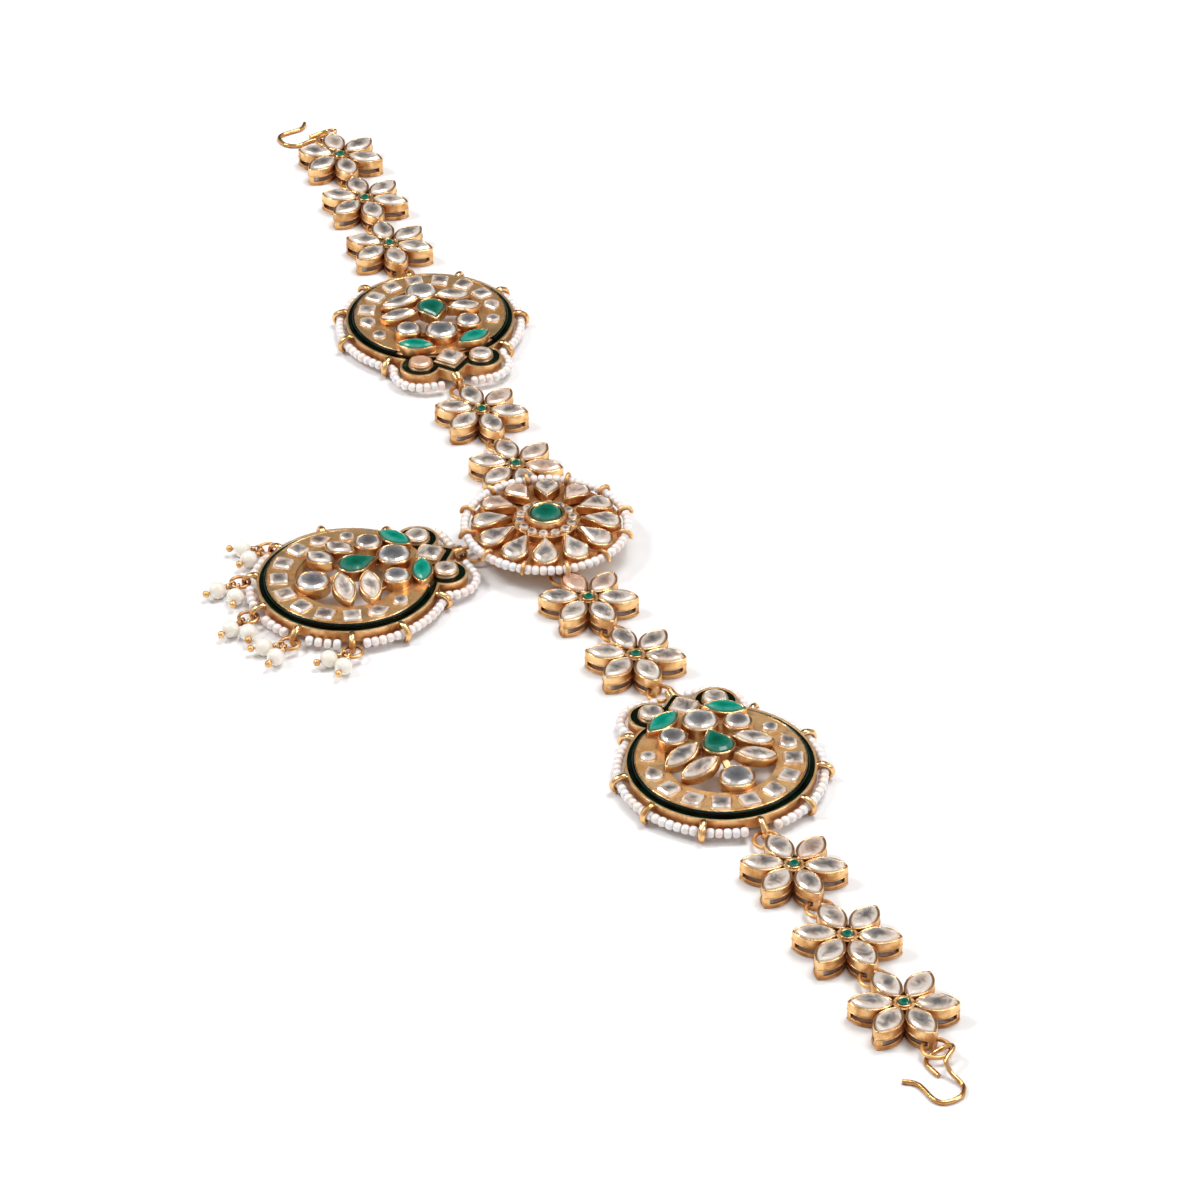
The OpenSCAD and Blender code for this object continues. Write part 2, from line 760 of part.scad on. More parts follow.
module jump_ring(p) {
    translate([p[0], p[1], jump_z]) wire_ring(jump_r, ring_wire);
}

module chain_rings() {
    color(gold) {
        for (pair = LINK_PAIRS) jump_ring(between(petal_tip_at(pair[0], 1), petal_tip_at(pair[1], -1)));
        for (ends = EYE_RINGS) jump_ring(ring_beyond(ends[0], ends[1]));
        jump_ring(left_end + [-end_ring_out, 0]);
        jump_ring(right_end + [end_ring_out, 0]);
    }
}

// The fringe of pearl drops
module at_drop_ring(row) {
    put(PENDANT, true) rotate(row[0]) translate([drop_ring_in, 0, drop_ring_z])
        rotate(-row[0]) children();
}

module at_each_drop() {
    for (row = DROPS) at_drop_ring(row) for (k = [1, 2]) rotate(row[k]) children();
}

module drop_rings() {
    color(gold) for (row = DROPS) at_drop_ring(row) wire_ring(drop_ring_r, drop_ring_wire);
}

module drop_pins() {
    shaft_from = drop_ring_r + pin_eye_r;
    pearl_start = pearl_at - pearl_d / 2;
    ball_at = pearl_at + pearl_d / 2 + ball_r + clear;
    color(gold) at_each_drop() {
        translate([drop_ring_r, 0, 0]) upright_ring(pin_eye_r, pin_wire);
        translate([shaft_from, 0, 0]) rotate([0, 90, 0])
            cylinder(h = ball_at - shaft_from, r = pin_wire / 2, $fn = arc_fn);
        translate([shaft_from + clear / 2, 0, 0]) rotate([0, 90, 0])
            cylinder(h = pearl_start - shaft_from - clear, r = wrap_r, $fn = arc_fn);
        translate([ball_at, 0, 0]) sphere(ball_r, $fn = arc_fn);
    }
}

module drop_pearls() {
    color(pearl_white) at_each_drop() translate([pearl_at, 0, 0]) rotate([0, 90, 0])
        rotate_extrude($fn = 2 * arc_fn) intersection() {
            circle(pearl_d / 2, $fn = 2 * arc_fn);
            translate([pearl_bore_r, -pearl_d]) square([pearl_d, 2 * pearl_d]);
        }
}

// Hooks
function blend(p, i, t) =
    let (a = p[max(i - 1, 0)], b = p[i], c = p[i + 1], d = p[min(i + 2, len(p) - 1)])
    0.5 * (2 * b + (c - a) * t + (2 * a - 5 * b + 4 * c - d) * t * t
        + (3 * b - a - 3 * c + d) * t * t * t);

function smooth(p, steps) = concat(
    [for (i = [0 : len(p) - 2]) for (k = [0 : steps - 1]) blend(p, i, k / steps)],
    [p[len(p) - 1]]);

function hook_route(heights) =
    [for (i = [0 : len(HOOK_ROUTE) - 1]) concat(HOOK_ROUTE[i], [heights[i] + hook_wire / 2])];

// A smoothed route may dip a little between its points, so it is kept on the floor
function on_floor(path) = [for (p = path) [p[0], p[1], max(p[2], hook_wire / 2)]];

module hook(at, heights) {
    route = on_floor(smooth(hook_route(heights), hook_steps));
    color(gold) put(at) tube(route, hook_wire / 2, hook_sides);
}

flower_link(0);  // flower_link_1
flower_link(1);  // flower_link_2
flower_link(2);  // flower_link_3
flower_link(3);  // flower_link_4
flower_link(4);  // flower_link_5
flower_link(5);  // flower_link_6
flower_link(6);  // flower_link_7
flower_link(7);  // flower_link_8
flower_link(8);  // flower_link_9
flower_link(9);  // flower_link_10
flower_stones(0);  // flower_stones_1
flower_stones(1);  // flower_stones_2
flower_stones(2);  // flower_stones_3
flower_stones(3);  // flower_stones_4
flower_stones(4);  // flower_stones_5
flower_stones(5);  // flower_stones_6
flower_stones(6);  // flower_stones_7
flower_stones(7);  // flower_stones_8
flower_stones(8);  // flower_stones_9
flower_stones(9);  // flower_stones_10
flower_centres();
medallion(LEFT);  // left_medallion
medallion_enamel(LEFT);  // left_enamel
crystals(LEFT);  // left_crystals
emeralds(LEFT);  // left_emeralds
medallion_beads(LEFT, [-90], chain_gap);  // left_beads
medallion(RIGHT);  // right_medallion
medallion_enamel(RIGHT);  // right_enamel
crystals(RIGHT);  // right_crystals
emeralds(RIGHT);  // right_emeralds
medallion_beads(RIGHT, [-90], chain_gap);  // right_beads
medallion(PENDANT);  // pendant_medallion
medallion_enamel(PENDANT);  // pendant_enamel
crystals(PENDANT);  // pendant_crystals
emeralds(PENDANT);  // pendant_emeralds
medallion_beads(PENDANT, [-90, -57, -23], drop_gap);  // pendant_beads
rosette();
rosette_pears();
rosette_rounds();
rosette_emerald();
rosette_beads();
chain_rings();
drop_rings();
drop_pins();
drop_pearls();
hook(LEFT_HOOK, LEFT_HOOK_Z);  // left_hook
hook(RIGHT_HOOK, RIGHT_HOOK_Z);  // right_hook
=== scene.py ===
# %% [markdown]
# A matha patti is a head jewel. A chain band of flower links runs over the hair, with two
# domed medallions, and a third medallion hangs on the forehead from a rosette, with a fringe
# of pearls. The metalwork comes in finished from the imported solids. This lesson makes the
# finishes first, and then dresses the jewel: foil-backed stones, wire rims, beads and pearls.

# %% Load the metalwork
import json
import math
import random
import bpy
from mathutils import Matrix, Vector


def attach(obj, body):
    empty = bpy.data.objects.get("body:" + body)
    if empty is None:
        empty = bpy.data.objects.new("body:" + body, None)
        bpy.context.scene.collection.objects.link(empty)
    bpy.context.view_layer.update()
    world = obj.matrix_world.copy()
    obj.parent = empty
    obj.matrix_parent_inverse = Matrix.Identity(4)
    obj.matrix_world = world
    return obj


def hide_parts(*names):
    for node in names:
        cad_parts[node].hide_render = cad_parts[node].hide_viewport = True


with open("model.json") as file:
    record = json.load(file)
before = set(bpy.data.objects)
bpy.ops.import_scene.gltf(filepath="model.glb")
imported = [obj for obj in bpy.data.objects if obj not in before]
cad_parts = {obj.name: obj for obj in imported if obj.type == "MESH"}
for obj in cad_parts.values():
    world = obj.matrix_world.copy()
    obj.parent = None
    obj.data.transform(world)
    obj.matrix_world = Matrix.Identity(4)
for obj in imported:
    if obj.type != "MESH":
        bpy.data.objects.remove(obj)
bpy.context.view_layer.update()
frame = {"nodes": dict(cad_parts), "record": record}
scene = bpy.context.scene
MM = 0.001


def add_object(name, data):
    thing = bpy.data.objects.new(name, data)
    scene.collection.objects.link(thing)
    return thing


# %% [markdown]
# The camera looks along the band from its lower right, about 35 degrees above the table. A
# long lens keeps the far hook nearly as large as the near one, so the camera stands a metre
# off. Its place and direction are set once here, in the same frame as the metalwork.

# %% Camera
CAMERA_PLACE = (0.8258, -0.2935, 0.5998)
CAMERA_LOOK = (-0.7676, 0.2847, -0.5743)
CAMERA_LENS = 142.47
CAMERA_SENSOR = 36
CAMERA_CLIP = (0.05, 20)


def aim(thing, place, way):
    thing.location = place
    thing.rotation_mode = "QUATERNION"
    thing.rotation_quaternion = Vector(way).to_track_quat("-Z", "Y")


def add_camera():
    data = bpy.data.cameras.new("camera")
    data.lens = CAMERA_LENS
    data.sensor_width = CAMERA_SENSOR
    data.clip_start, data.clip_end = CAMERA_CLIP
    camera = add_object("camera", data)
    aim(camera, CAMERA_PLACE, CAMERA_LOOK)
    scene.camera = camera


add_camera()
print("camera at", CAMERA_PLACE)

# %% [markdown]
# Every finish here is made of nodes, and each has the same few parts: a place to read the
# pattern from, a noise, a ramp that turns it into tones, and the shader. Small helpers keep
# the finishes short to read, and build the Geometry Nodes later. An input takes either another
# node's output or a plain value. A Mix node has sockets for each kind of data, all with the
# same names, so its colour sockets are picked by number.

# %% Helpers for nodes
MIX_INPUTS = (0, 6, 7)
MIX_OUTPUT = 2
NEW_STOP = 0.5


def feed(tree, node, inputs):
    for key, value in inputs.items():
        if isinstance(value, bpy.types.NodeSocket):
            tree.links.new(value, node.inputs[key])
        else:
            node.inputs[key].default_value = value


def add_node(tree, kind, inputs, **settings):
    node = tree.nodes.new(kind)
    for setting, value in settings.items():
        setattr(node, setting, value)
    feed(tree, node, inputs)
    return node


def with_alpha(value):
    return (*value, 1) if isinstance(value, tuple) else value


def add_noise(tree, scale, detail, twist=0.0):
    place = tree.nodes.new("ShaderNodeTexCoord").outputs["Object"]
    inputs = {"Vector": place, "Scale": scale, "Detail": detail, "Distortion": twist}
    return add_node(tree, "ShaderNodeTexNoise", inputs).outputs["Fac"]


def add_range(tree, source, from_range, to_range):
    ends = zip(("From Min", "From Max", "To Min", "To Max"), (*from_range, *to_range))
    return add_node(tree, "ShaderNodeMapRange", {"Value": source, **dict(ends)}).outputs[0]


def add_ramp(tree, source, stops):
    ramp = add_node(tree, "ShaderNodeValToRGB", {0: source})
    while len(ramp.color_ramp.elements) < len(stops):
        ramp.color_ramp.elements.new(NEW_STOP)
    for element, (at, colour) in zip(ramp.color_ramp.elements, stops):
        element.position = at
        element.color = with_alpha(colour)
    return ramp.outputs[0]


def add_mix(tree, factor, low, high, blend="MIX"):
    inputs = dict(zip(MIX_INPUTS, (factor, with_alpha(low), with_alpha(high))))
    node = add_node(tree, "ShaderNodeMix", inputs, data_type="RGBA", blend_type=blend)
    return node.outputs[MIX_OUTPUT]


def add_sum(tree, first, second):
    return add_node(tree, "ShaderNodeMath", {0: first, 1: second}, operation="ADD").outputs[0]


def add_dot(tree, first, second):
    inputs = {0: first, 1: second}
    node = add_node(tree, "ShaderNodeVectorMath", inputs, operation="DOT_PRODUCT")
    return node.outputs["Value"]


def add_height(tree, place):
    return add_node(tree, "ShaderNodeSeparateXYZ", {0: place}).outputs["Z"]


def add_attribute(tree, name):
    return add_node(tree, "ShaderNodeAttribute", {}, attribute_name=name).outputs["Fac"]


print("helpers for nodes are ready")

# %% [markdown]
# Glass and lustre change their tone with an attribute of the mesh. A cloud of noise sways that
# tone a little, so that no two stones or beads look quite the same.

# %% Helpers for finishes
CLOUD_RANGE = (0.3, 0.7)


def new_finish(name):
    finish = bpy.data.materials.new(name)
    finish.use_nodes = True
    return finish, finish.node_tree, finish.node_tree.nodes["Principled BSDF"]


def add_swayed(tree, attribute, cloud, spread):
    sway = add_range(tree, add_noise(tree, *cloud), CLOUD_RANGE, (-spread, spread))
    return add_sum(tree, add_attribute(tree, attribute), sway)


def make_clouded(name, attribute, cloud, spread, tones, surface):
    finish, tree, shader = new_finish(name)
    colour = add_ramp(tree, add_swayed(tree, attribute, cloud, spread), tones)
    feed(tree, shader, {"Base Color": colour, **surface})
    return finish


print("helpers for finishes are ready")

# %% [markdown]
# Polished gold only looks like gold when it has something light and something dark to
# reflect. The world is a pale tent with one dark card in it. The card stands where the flat
# stones mirror it toward the camera, so their tables turn smoky, and all the slopes stay bright.

# %% Floor, world and lamps
FLOOR_SIZE = 3
FLOOR_SURFACE = {"Base Color": (0.93, 0.93, 0.93, 1), "Roughness": 0.7}
LAMPS = [
    ("key_lamp", (-0.5, -1.0, 1.3), 0.5, 12),
    ("top_lamp", (-0.25, 0.5, 1.5), 0.7, 13),
    ("side_lamp", (0.9, 1.1, 0.9), 0.4, 6),
]
SKY = [(0.0, (0.9, 0.9, 0.9)), (0.45, (0.7, 0.7, 0.71)), (1.0, (1, 1, 1))]
SKY_STRENGTH = 0.55
CARD_WAY = (-0.77, 0.28, 0.57)
CARD = [(0.78, (1, 1, 1)), (0.92, (0.22, 0.22, 0.23))]


def add_floor():
    mesh = bpy.data.meshes.new("table_top")
    half = FLOOR_SIZE / 2
    corners = [(-half, -half, 0), (half, -half, 0), (half, half, 0), (-half, half, 0)]
    mesh.from_pydata(corners, [], [(0, 1, 2, 3)])
    floor = add_object("table_top", mesh)
    paint, tree, shader = new_finish("pale_table")
    feed(tree, shader, FLOOR_SURFACE)
    mesh.materials.append(paint)


def add_world():
    world = bpy.data.worlds.new("studio")
    world.use_nodes = True
    tree = world.node_tree
    way = tree.nodes.new("ShaderNodeTexCoord").outputs["Generated"]
    sky = add_ramp(tree, add_height(tree, way), SKY)
    card = add_ramp(tree, add_dot(tree, way, CARD_WAY), CARD)
    tent = add_mix(tree, 1.0, sky, card, "MULTIPLY")
    feed(tree, tree.nodes["Background"], {"Color": tent, "Strength": SKY_STRENGTH})
    scene.world = world


def add_lamp(name, place, size, power):
    data = bpy.data.lights.new(name, "AREA")
    data.size = size
    data.energy = power
    aim(add_object(name, data), place, -Vector(place))


add_floor()
add_world()
for row in LAMPS:
    add_lamp(*row)
scene.view_settings.view_transform = "Standard"
print("floor, world and", len(LAMPS), "lamps")

# %% [markdown]
# The metal is brass with a thick warm gold plate. Light and shade are painted into its colour:
# a pale painted highlight on every rim, painted shade of deep orange-brown in the recesses,
# and darker, warmer painted shade on the lower flanks. Ambient occlusion finds the recesses, a
# height above the table finds the lower flanks, and the Bevel node rounds each sharp edge for
# the light, which is what makes a rim sparkle. The same rounding finds the rims to paint.

# %% Gold
# Painted shade: the deep colour goes into the recesses.
GOLD_RECESS_SHADE = (0.55, 0.21, 0.065)
# Painted shade: the warm colour goes on the lower flanks.
GOLD_FLANK_SHADE = (0.84, 0.47, 0.17)
GOLD_PLATE = (1.0, 0.66, 0.32)
# Painted highlight: the pale colour goes on every rim.
GOLD_RIM_HIGHLIGHT = (1.0, 0.85, 0.55)
GOLD_TONES = [(0.36, (0.62, 0.48, 0.34)), (0.56, (1, 1, 1))]
GOLD_CLOUD = (260, 5, 0.6)
GOLD_GRAIN = (1900, 3)
GOLD_BUMP = {"Strength": 0.24, "Distance": 0.1 * MM}
GOLD_ROUGH = 0.53
GOLD_SMOOTH = 0.3
WIRE_POLISH = 0.22
RECESS_REACH = 2.4 * MM
RECESS_SAMPLES = 6
RECESS_SHADE_RANGE = (0.25, 0.9)
EDGE_ROUND = 0.24 * MM
EDGE_SAMPLES = 4
RIM_HIGHLIGHT_RANGE = (0.99, 0.8)
FLANK_SHADE_RANGE = (0.5 * MM, 4.1 * MM)


# Painted shade: the lower flanks, near the table, are painted darker and warmer.
def flank_shade_factor(tree):
    place = tree.nodes.new("ShaderNodeTexCoord").outputs["Object"]
    return add_range(tree, add_height(tree, place), FLANK_SHADE_RANGE, (0, 1))


# Painted shade: ambient occlusion paints the recesses deep orange-brown.
def recess_shade_factor(tree):
    reach = {"Distance": RECESS_REACH}
    hollow = add_node(tree, "ShaderNodeAmbientOcclusion", reach, samples=RECESS_SAMPLES)
    return add_range(tree, hollow.outputs["AO"], RECESS_SHADE_RANGE, (0, 1))


# Painted highlight: rims, where the rounded normal leaves the true one, are painted pale.
def rim_highlight_factor(tree, rounded):
    true_face = tree.nodes.new("ShaderNodeNewGeometry").outputs["Normal"]
    return add_range(tree, add_dot(tree, rounded, true_face), RIM_HIGHLIGHT_RANGE, (0, 1))


def make_gold(name, polish=0.0):
    finish, tree, shader = new_finish(name)
    bevel = add_node(tree, "ShaderNodeBevel", {"Radius": EDGE_ROUND}, samples=EDGE_SAMPLES)
    rounded = bevel.outputs[0]
    cloud = add_noise(tree, *GOLD_CLOUD)
    grain = add_noise(tree, *GOLD_GRAIN)
    # Painted shade on the lower flanks and in the recesses, then a painted highlight on the rims.
    flank = add_mix(tree, flank_shade_factor(tree), GOLD_FLANK_SHADE, GOLD_PLATE)
    metal = add_mix(tree, recess_shade_factor(tree), GOLD_RECESS_SHADE, flank)
    rim = add_mix(tree, rim_highlight_factor(tree, rounded), metal, GOLD_RIM_HIGHLIGHT)
    coloured = add_mix(tree, 1.0, rim, add_ramp(tree, cloud, GOLD_TONES), "MULTIPLY")
    rough = add_range(tree, cloud, CLOUD_RANGE, (GOLD_ROUGH - polish, GOLD_SMOOTH - polish))
    relief = {"Height": grain, "Normal": rounded, **GOLD_BUMP}
    bump = add_node(tree, "ShaderNodeBump", relief).outputs[0]
    feed(tree, shader, {"Base Color": coloured, "Roughness": rough, "Normal": bump})
    feed(tree, shader, {"Metallic": 1.0})
    return finish


gold = make_gold("gold_plate")
bright_gold = make_gold("bright_gold_wire", WIRE_POLISH)
print("made", gold.name, "and", bright_gold.name)

# %% [markdown]
# The clear stones are glass with silver foil behind them. Their light is painted into the
# colour: a smoky grey middle, a painted reflection of the dark card in the flat table, and
# white sloping facets round it, painted as if they caught the light, here and there with a
# painted peach reflection of the gold. Each cut stone carries an attribute that runs from 0
# in its middle to 1 at its girdle, and a random tint, and the finish reads both. The large
# round stones are painted darker in the middle than all the others, so two finishes are made.

# %% Foil-backed crystal
# Painted light: each ramp runs from a smoky grey middle, a painted reflection, to a pale rim
# painted as caught light.
DOME_TONES = [(0.0, (0.15, 0.15, 0.16)), (0.35, (0.22, 0.218, 0.225)), (0.66, (0.40, 0.385, 0.38)),
              (0.84, (0.86, 0.80, 0.74)), (1.0, (0.90, 0.85, 0.79))]
PETAL_TONES = [(0.0, (0.19, 0.175, 0.17)), (0.3, (0.37, 0.33, 0.30)), (0.55, (0.66, 0.56, 0.48)),
               (0.76, (0.93, 0.82, 0.72)), (1.0, (0.94, 0.86, 0.77))]
DOME_SPREAD = 0.2
PETAL_SPREAD = 0.36
CRYSTAL_CLOUD = (330, 3, 1.2)
TINT_SHIFT = (-0.1, 0.12)
# Painted reflection: the peach stands for the gold mirrored in a stone, brought in by a high tint.
PEACH_REFLECTION = (0.92, 0.52, 0.33)
PEACH_TINTS = (0.86, 0.97)
PEACH_SHARE = (0, 0.8)
# Painted reflection: this cloud lays the peach in patches.
GLOW_CLOUD = (210, 2)
GLOW_RANGE = (0.5, 0.72)
GLOW_SHARE = (0, 0.35)
CRYSTAL_SURFACE = {"Metallic": 0.45, "Roughness": 0.24, "Coat Weight": 0.7,
                   "Coat Roughness": 0.04, "Coat IOR": 1.5}


def make_crystal(name, tones, spread):
    finish, tree, shader = new_finish(name)
    tint = add_attribute(tree, "tint")
    swayed = add_swayed(tree, "edge", CRYSTAL_CLOUD, spread)
    shift = add_range(tree, tint, (0, 1), TINT_SHIFT)
    # Painted reflection in the middle and painted caught light at the girdle.
    foil_and_painted_light = add_ramp(tree, add_sum(tree, swayed, shift), tones)
    warm = add_range(tree, tint, PEACH_TINTS, PEACH_SHARE)
    glow = add_range(tree, add_noise(tree, *GLOW_CLOUD), GLOW_RANGE, GLOW_SHARE)
    with_reflection_patches = add_mix(tree, glow, foil_and_painted_light, PEACH_REFLECTION, "MULTIPLY")
    feed(tree, shader, {"Base Color": add_mix(tree, warm, with_reflection_patches, PEACH_REFLECTION), **CRYSTAL_SURFACE})
    return finish


crystal = make_crystal("foil_backed_crystal", DOME_TONES, DOME_SPREAD)
petal_crystal = make_crystal("petal_crystal", PETAL_TONES, PETAL_SPREAD)
print("made", crystal.name, "and", petal_crystal.name)

# %% [markdown]
# The green stones are glass too. The two long ones on each medallion are a lighter, milky
# green, and the pear and the round middle stones are deep and clear. The same attribute
# makes the middle a little darker than the rim.

# %% Green glass
MILKY_GREEN = (0.0, 0.26, 0.18)
DEEP_GREEN = (0.0, 0.13, 0.08)
MILKY_RIM = 0.07
DEEP_RIM = 0.05
GREEN_MIDDLE_SHARE = 0.55
GREEN_STOPS = (0.1, 0.55, 1.0)
GREEN_CLOUD = (420, 4, 1.0)
GREEN_SPREAD = 0.2
GREEN_SURFACE = {"Roughness": 0.16, "Specular IOR Level": 0.25, "Coat Weight": 0.3,
                 "Coat Roughness": 0.04}


def make_green(name, colour, pale):
    dark = tuple(GREEN_MIDDLE_SHARE * c for c in colour)
    light = tuple(c + pale for c in colour)
    tones = list(zip(GREEN_STOPS, (dark, colour, light)))
    return make_clouded(name, "edge", GREEN_CLOUD, GREEN_SPREAD, tones, GREEN_SURFACE)


milky_green = make_green("milky_green_glass", MILKY_GREEN, MILKY_RIM)
deep_green = make_green("deep_green_glass", DEEP_GREEN, DEEP_RIM)
print("made", milky_green.name, "and", deep_green.name)

# %% [markdown]
# The channel round each medallion is filled with enamel, melted glass that looks black until
# light catches its green. It lies a little uneven, so it gets a gentle wave of bump and a
# thin clear coat.

# %% Enamel
ENAMEL_TONES = [(0.35, (0.001, 0.002, 0.001)), (0.75, (0.002, 0.016, 0.007))]
ENAMEL_CLOUD = (300, 4)
ENAMEL_BUMP = {"Strength": 0.2, "Distance": 0.2 * MM}
ENAMEL_SURFACE = {"Roughness": 0.22, "Specular IOR Level": 0.1, "Coat Weight": 0.1,
                  "Coat Roughness": 0.06}


def make_enamel():
    finish, tree, shader = new_finish("black_green_enamel")
    cloud = add_noise(tree, *ENAMEL_CLOUD)
    colour = add_ramp(tree, cloud, ENAMEL_TONES)
    bump = add_node(tree, "ShaderNodeBump", {"Height": cloud, **ENAMEL_BUMP}).outputs[0]
    feed(tree, shader, {"Base Color": colour, "Normal": bump, **ENAMEL_SURFACE})
    return finish


enamel = make_enamel()
print("made", enamel.name)

# %% [markdown]
# Seed beads and fringe pearls share one lustre: a white body, a thin clear coat, and a blush
# that differs from bead to bead. The random tint that each bead and pearl carries picks it.

# %% Pearl lustre
BEAD_TONES = [(0.0, (0.91, 0.87, 0.84)), (0.35, (0.92, 0.85, 0.80)), (0.6, (0.92, 0.76, 0.70)),
              (0.8, (0.87, 0.86, 0.88)), (1.0, (0.94, 0.90, 0.87))]
PEARL_TONES = [(0.0, (0.93, 0.86, 0.74)), (0.5, (0.95, 0.90, 0.82)), (1.0, (0.90, 0.80, 0.66))]
BEAD_SPREAD = 0.12
PEARL_SPREAD = 0.3
LUSTRE_CLOUD = (500, 3, 0.8)
LUSTRE_SURFACE = {"Roughness": 0.28, "Coat Weight": 0.7, "Coat Roughness": 0.12,
                  "Sheen Weight": 0.15, "Subsurface Weight": 0.15, "Subsurface Scale": 0.4 * MM}


def make_lustre(name, tones, spread):
    return make_clouded(name, "tint", LUSTRE_CLOUD, spread, tones, LUSTRE_SURFACE)


bead_lustre = make_lustre("seed_bead_lustre", BEAD_TONES, BEAD_SPREAD)
pearl_lustre = make_lustre("fringe_pearl_lustre", PEARL_TONES, PEARL_SPREAD)
print("made", bead_lustre.name, "and", pearl_lustre.name)

# %% [markdown]
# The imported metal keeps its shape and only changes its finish. The record says which slot
# each solid belongs to, so one loop dresses them all. The stones and beads in this list get
# their finish too, although made pieces take their place further on.

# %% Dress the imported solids
FINISH_OF_SLOT = {"gold": gold, "crystal": crystal, "emerald": deep_green, "enamel": enamel,
                  "pearl": bead_lustre}


def dress_solids():
    for part in frame["record"]["subparts"]:
        solid = frame["nodes"][part["node"]]
        solid.data.materials.clear()
        solid.data.materials.append(FINISH_OF_SLOT[part["material_slot"]])
    return len(frame["record"]["subparts"])


print("dressed", dress_solids(), "solids")

# %% [markdown]
# Now the Geometry Nodes. Three small trees do all the repeating work of this jewel. The first
# draws a wire along any line. The second sets one object at many points, each with its own
# turn. The third threads beads along a line at an even pitch. Each tree has named inputs and
# ends in Realize Instances and Set Material, so that the result is a plain mesh.

# %% Start and end of every tree


def new_tree(name, inputs):
    tree = bpy.data.node_groups.new(name, "GeometryNodeTree")
    for label, kind in [("Geometry", "Geometry"), *inputs, ("Material", "Material")]:
        tree.interface.new_socket(label, in_out="INPUT", socket_type="NodeSocket" + kind)
    tree.interface.new_socket("Geometry", in_out="OUTPUT", socket_type="NodeSocketGeometry")
    return tree, tree.nodes.new("NodeGroupInput").outputs


def end_tree(tree, start, geometry, smooth=True):
    real = add_node(tree, "GeometryNodeRealizeInstances", {0: geometry})
    shading = {0: real.outputs[0], "Shade Smooth": smooth}
    shade = add_node(tree, "GeometryNodeSetShadeSmooth", shading)
    dressing = {0: shade.outputs[0], "Material": start["Material"]}
    dress = add_node(tree, "GeometryNodeSetMaterial", dressing)
    add_node(tree, "NodeGroupOutput", {0: dress.outputs[0]})


print("ready to build trees")

# %% Tree 1: a wire along a line


def make_wire_tree():
    tree, start = new_tree("wire_along_line", [("Radius", "Float"), ("Sides", "Int")])
    line = add_node(tree, "GeometryNodeMeshToCurve", {0: start["Geometry"]})
    size = {"Radius": start["Radius"], "Resolution": start["Sides"]}
    profile = add_node(tree, "GeometryNodeCurvePrimitiveCircle", size)
    sweep = add_node(tree, "GeometryNodeCurveToMesh", {
        "Curve": line.outputs[0], "Profile Curve": profile.outputs[0], "Fill Caps": True})
    end_tree(tree, start, sweep.outputs[0])
    return tree


wire_tree = make_wire_tree()
print("tree:", wire_tree.name)

# %% Tree 2: one object set at many points


def make_setting_tree():
    tree, start = new_tree("set_at_points", [("Piece", "Object"), ("Smooth", "Bool")])
    piece = add_node(tree, "GeometryNodeObjectInfo", {"Object": start["Piece"]})
    turn = add_node(
        tree, "GeometryNodeInputNamedAttribute", {"Name": "turn"}, data_type="FLOAT_VECTOR")
    rotate = add_node(tree, "FunctionNodeEulerToRotation", {0: turn.outputs["Attribute"]})
    place = add_node(tree, "GeometryNodeInstanceOnPoints", {
        "Points": start["Geometry"], "Instance": piece.outputs["Geometry"],
        "Rotation": rotate.outputs[0]})
    end_tree(tree, start, place.outputs[0], start["Smooth"])
    return tree


setting_tree = make_setting_tree()
print("tree:", setting_tree.name)

# %% Tree 3: beads threaded along a line
RANDOM_LOW = 2
RANDOM_HIGH = 3
RANDOM_OUTPUT = 1
BEAD_SCALES = (0.92, 1.0)
BEAD_TINTS = (0.0, 1.0)
SCALE_SEED = 0
TINT_SEED = 7


def random_between(tree, start, ends, extra_seed):
    seed = add_sum(tree, start["Seed"], extra_seed)
    inputs = {RANDOM_LOW: ends[0], RANDOM_HIGH: ends[1], "Seed": seed}
    node = add_node(tree, "FunctionNodeRandomValue", inputs, data_type="FLOAT")
    return node.outputs[RANDOM_OUTPUT]


def make_bead_tree():
    tree, start = new_tree(
        "beads_along_line", [("Bead", "Object"), ("Pitch", "Float"), ("Seed", "Int")])
    line = add_node(tree, "GeometryNodeMeshToCurve", {0: start["Geometry"]})
    spacing = {0: line.outputs[0], "Length": start["Pitch"]}
    even = add_node(tree, "GeometryNodeResampleCurve", spacing, mode="LENGTH")
    bead = add_node(tree, "GeometryNodeObjectInfo", {"Object": start["Bead"]})
    along = {"Vector": tree.nodes.new("GeometryNodeInputTangent").outputs[0]}
    align = add_node(tree, "FunctionNodeAlignRotationToVector", along, axis="Z")
    place = add_node(tree, "GeometryNodeInstanceOnPoints", {
        "Points": even.outputs[0], "Instance": bead.outputs["Geometry"],
        "Rotation": align.outputs[0],
        "Scale": random_between(tree, start, BEAD_SCALES, SCALE_SEED)})
    tint = random_between(tree, start, BEAD_TINTS, TINT_SEED)
    store = add_node(
        tree, "GeometryNodeStoreNamedAttribute",
        {0: place.outputs[0], "Name": "tint", "Value": tint}, domain="INSTANCE")
    end_tree(tree, start, store.outputs[0])
    return tree


bead_tree = make_bead_tree()
print("tree:", bead_tree.name)

# %% [markdown]
# A tree needs an object to hang on. The helper below makes one for a moment, sets the inputs
# by their identifiers, reads the finished mesh back, and throws the holder away. What stays
# is a plain mesh at the origin. Shapes are listed in millimetres and turned into metres here.

# %% Run a tree and keep its mesh


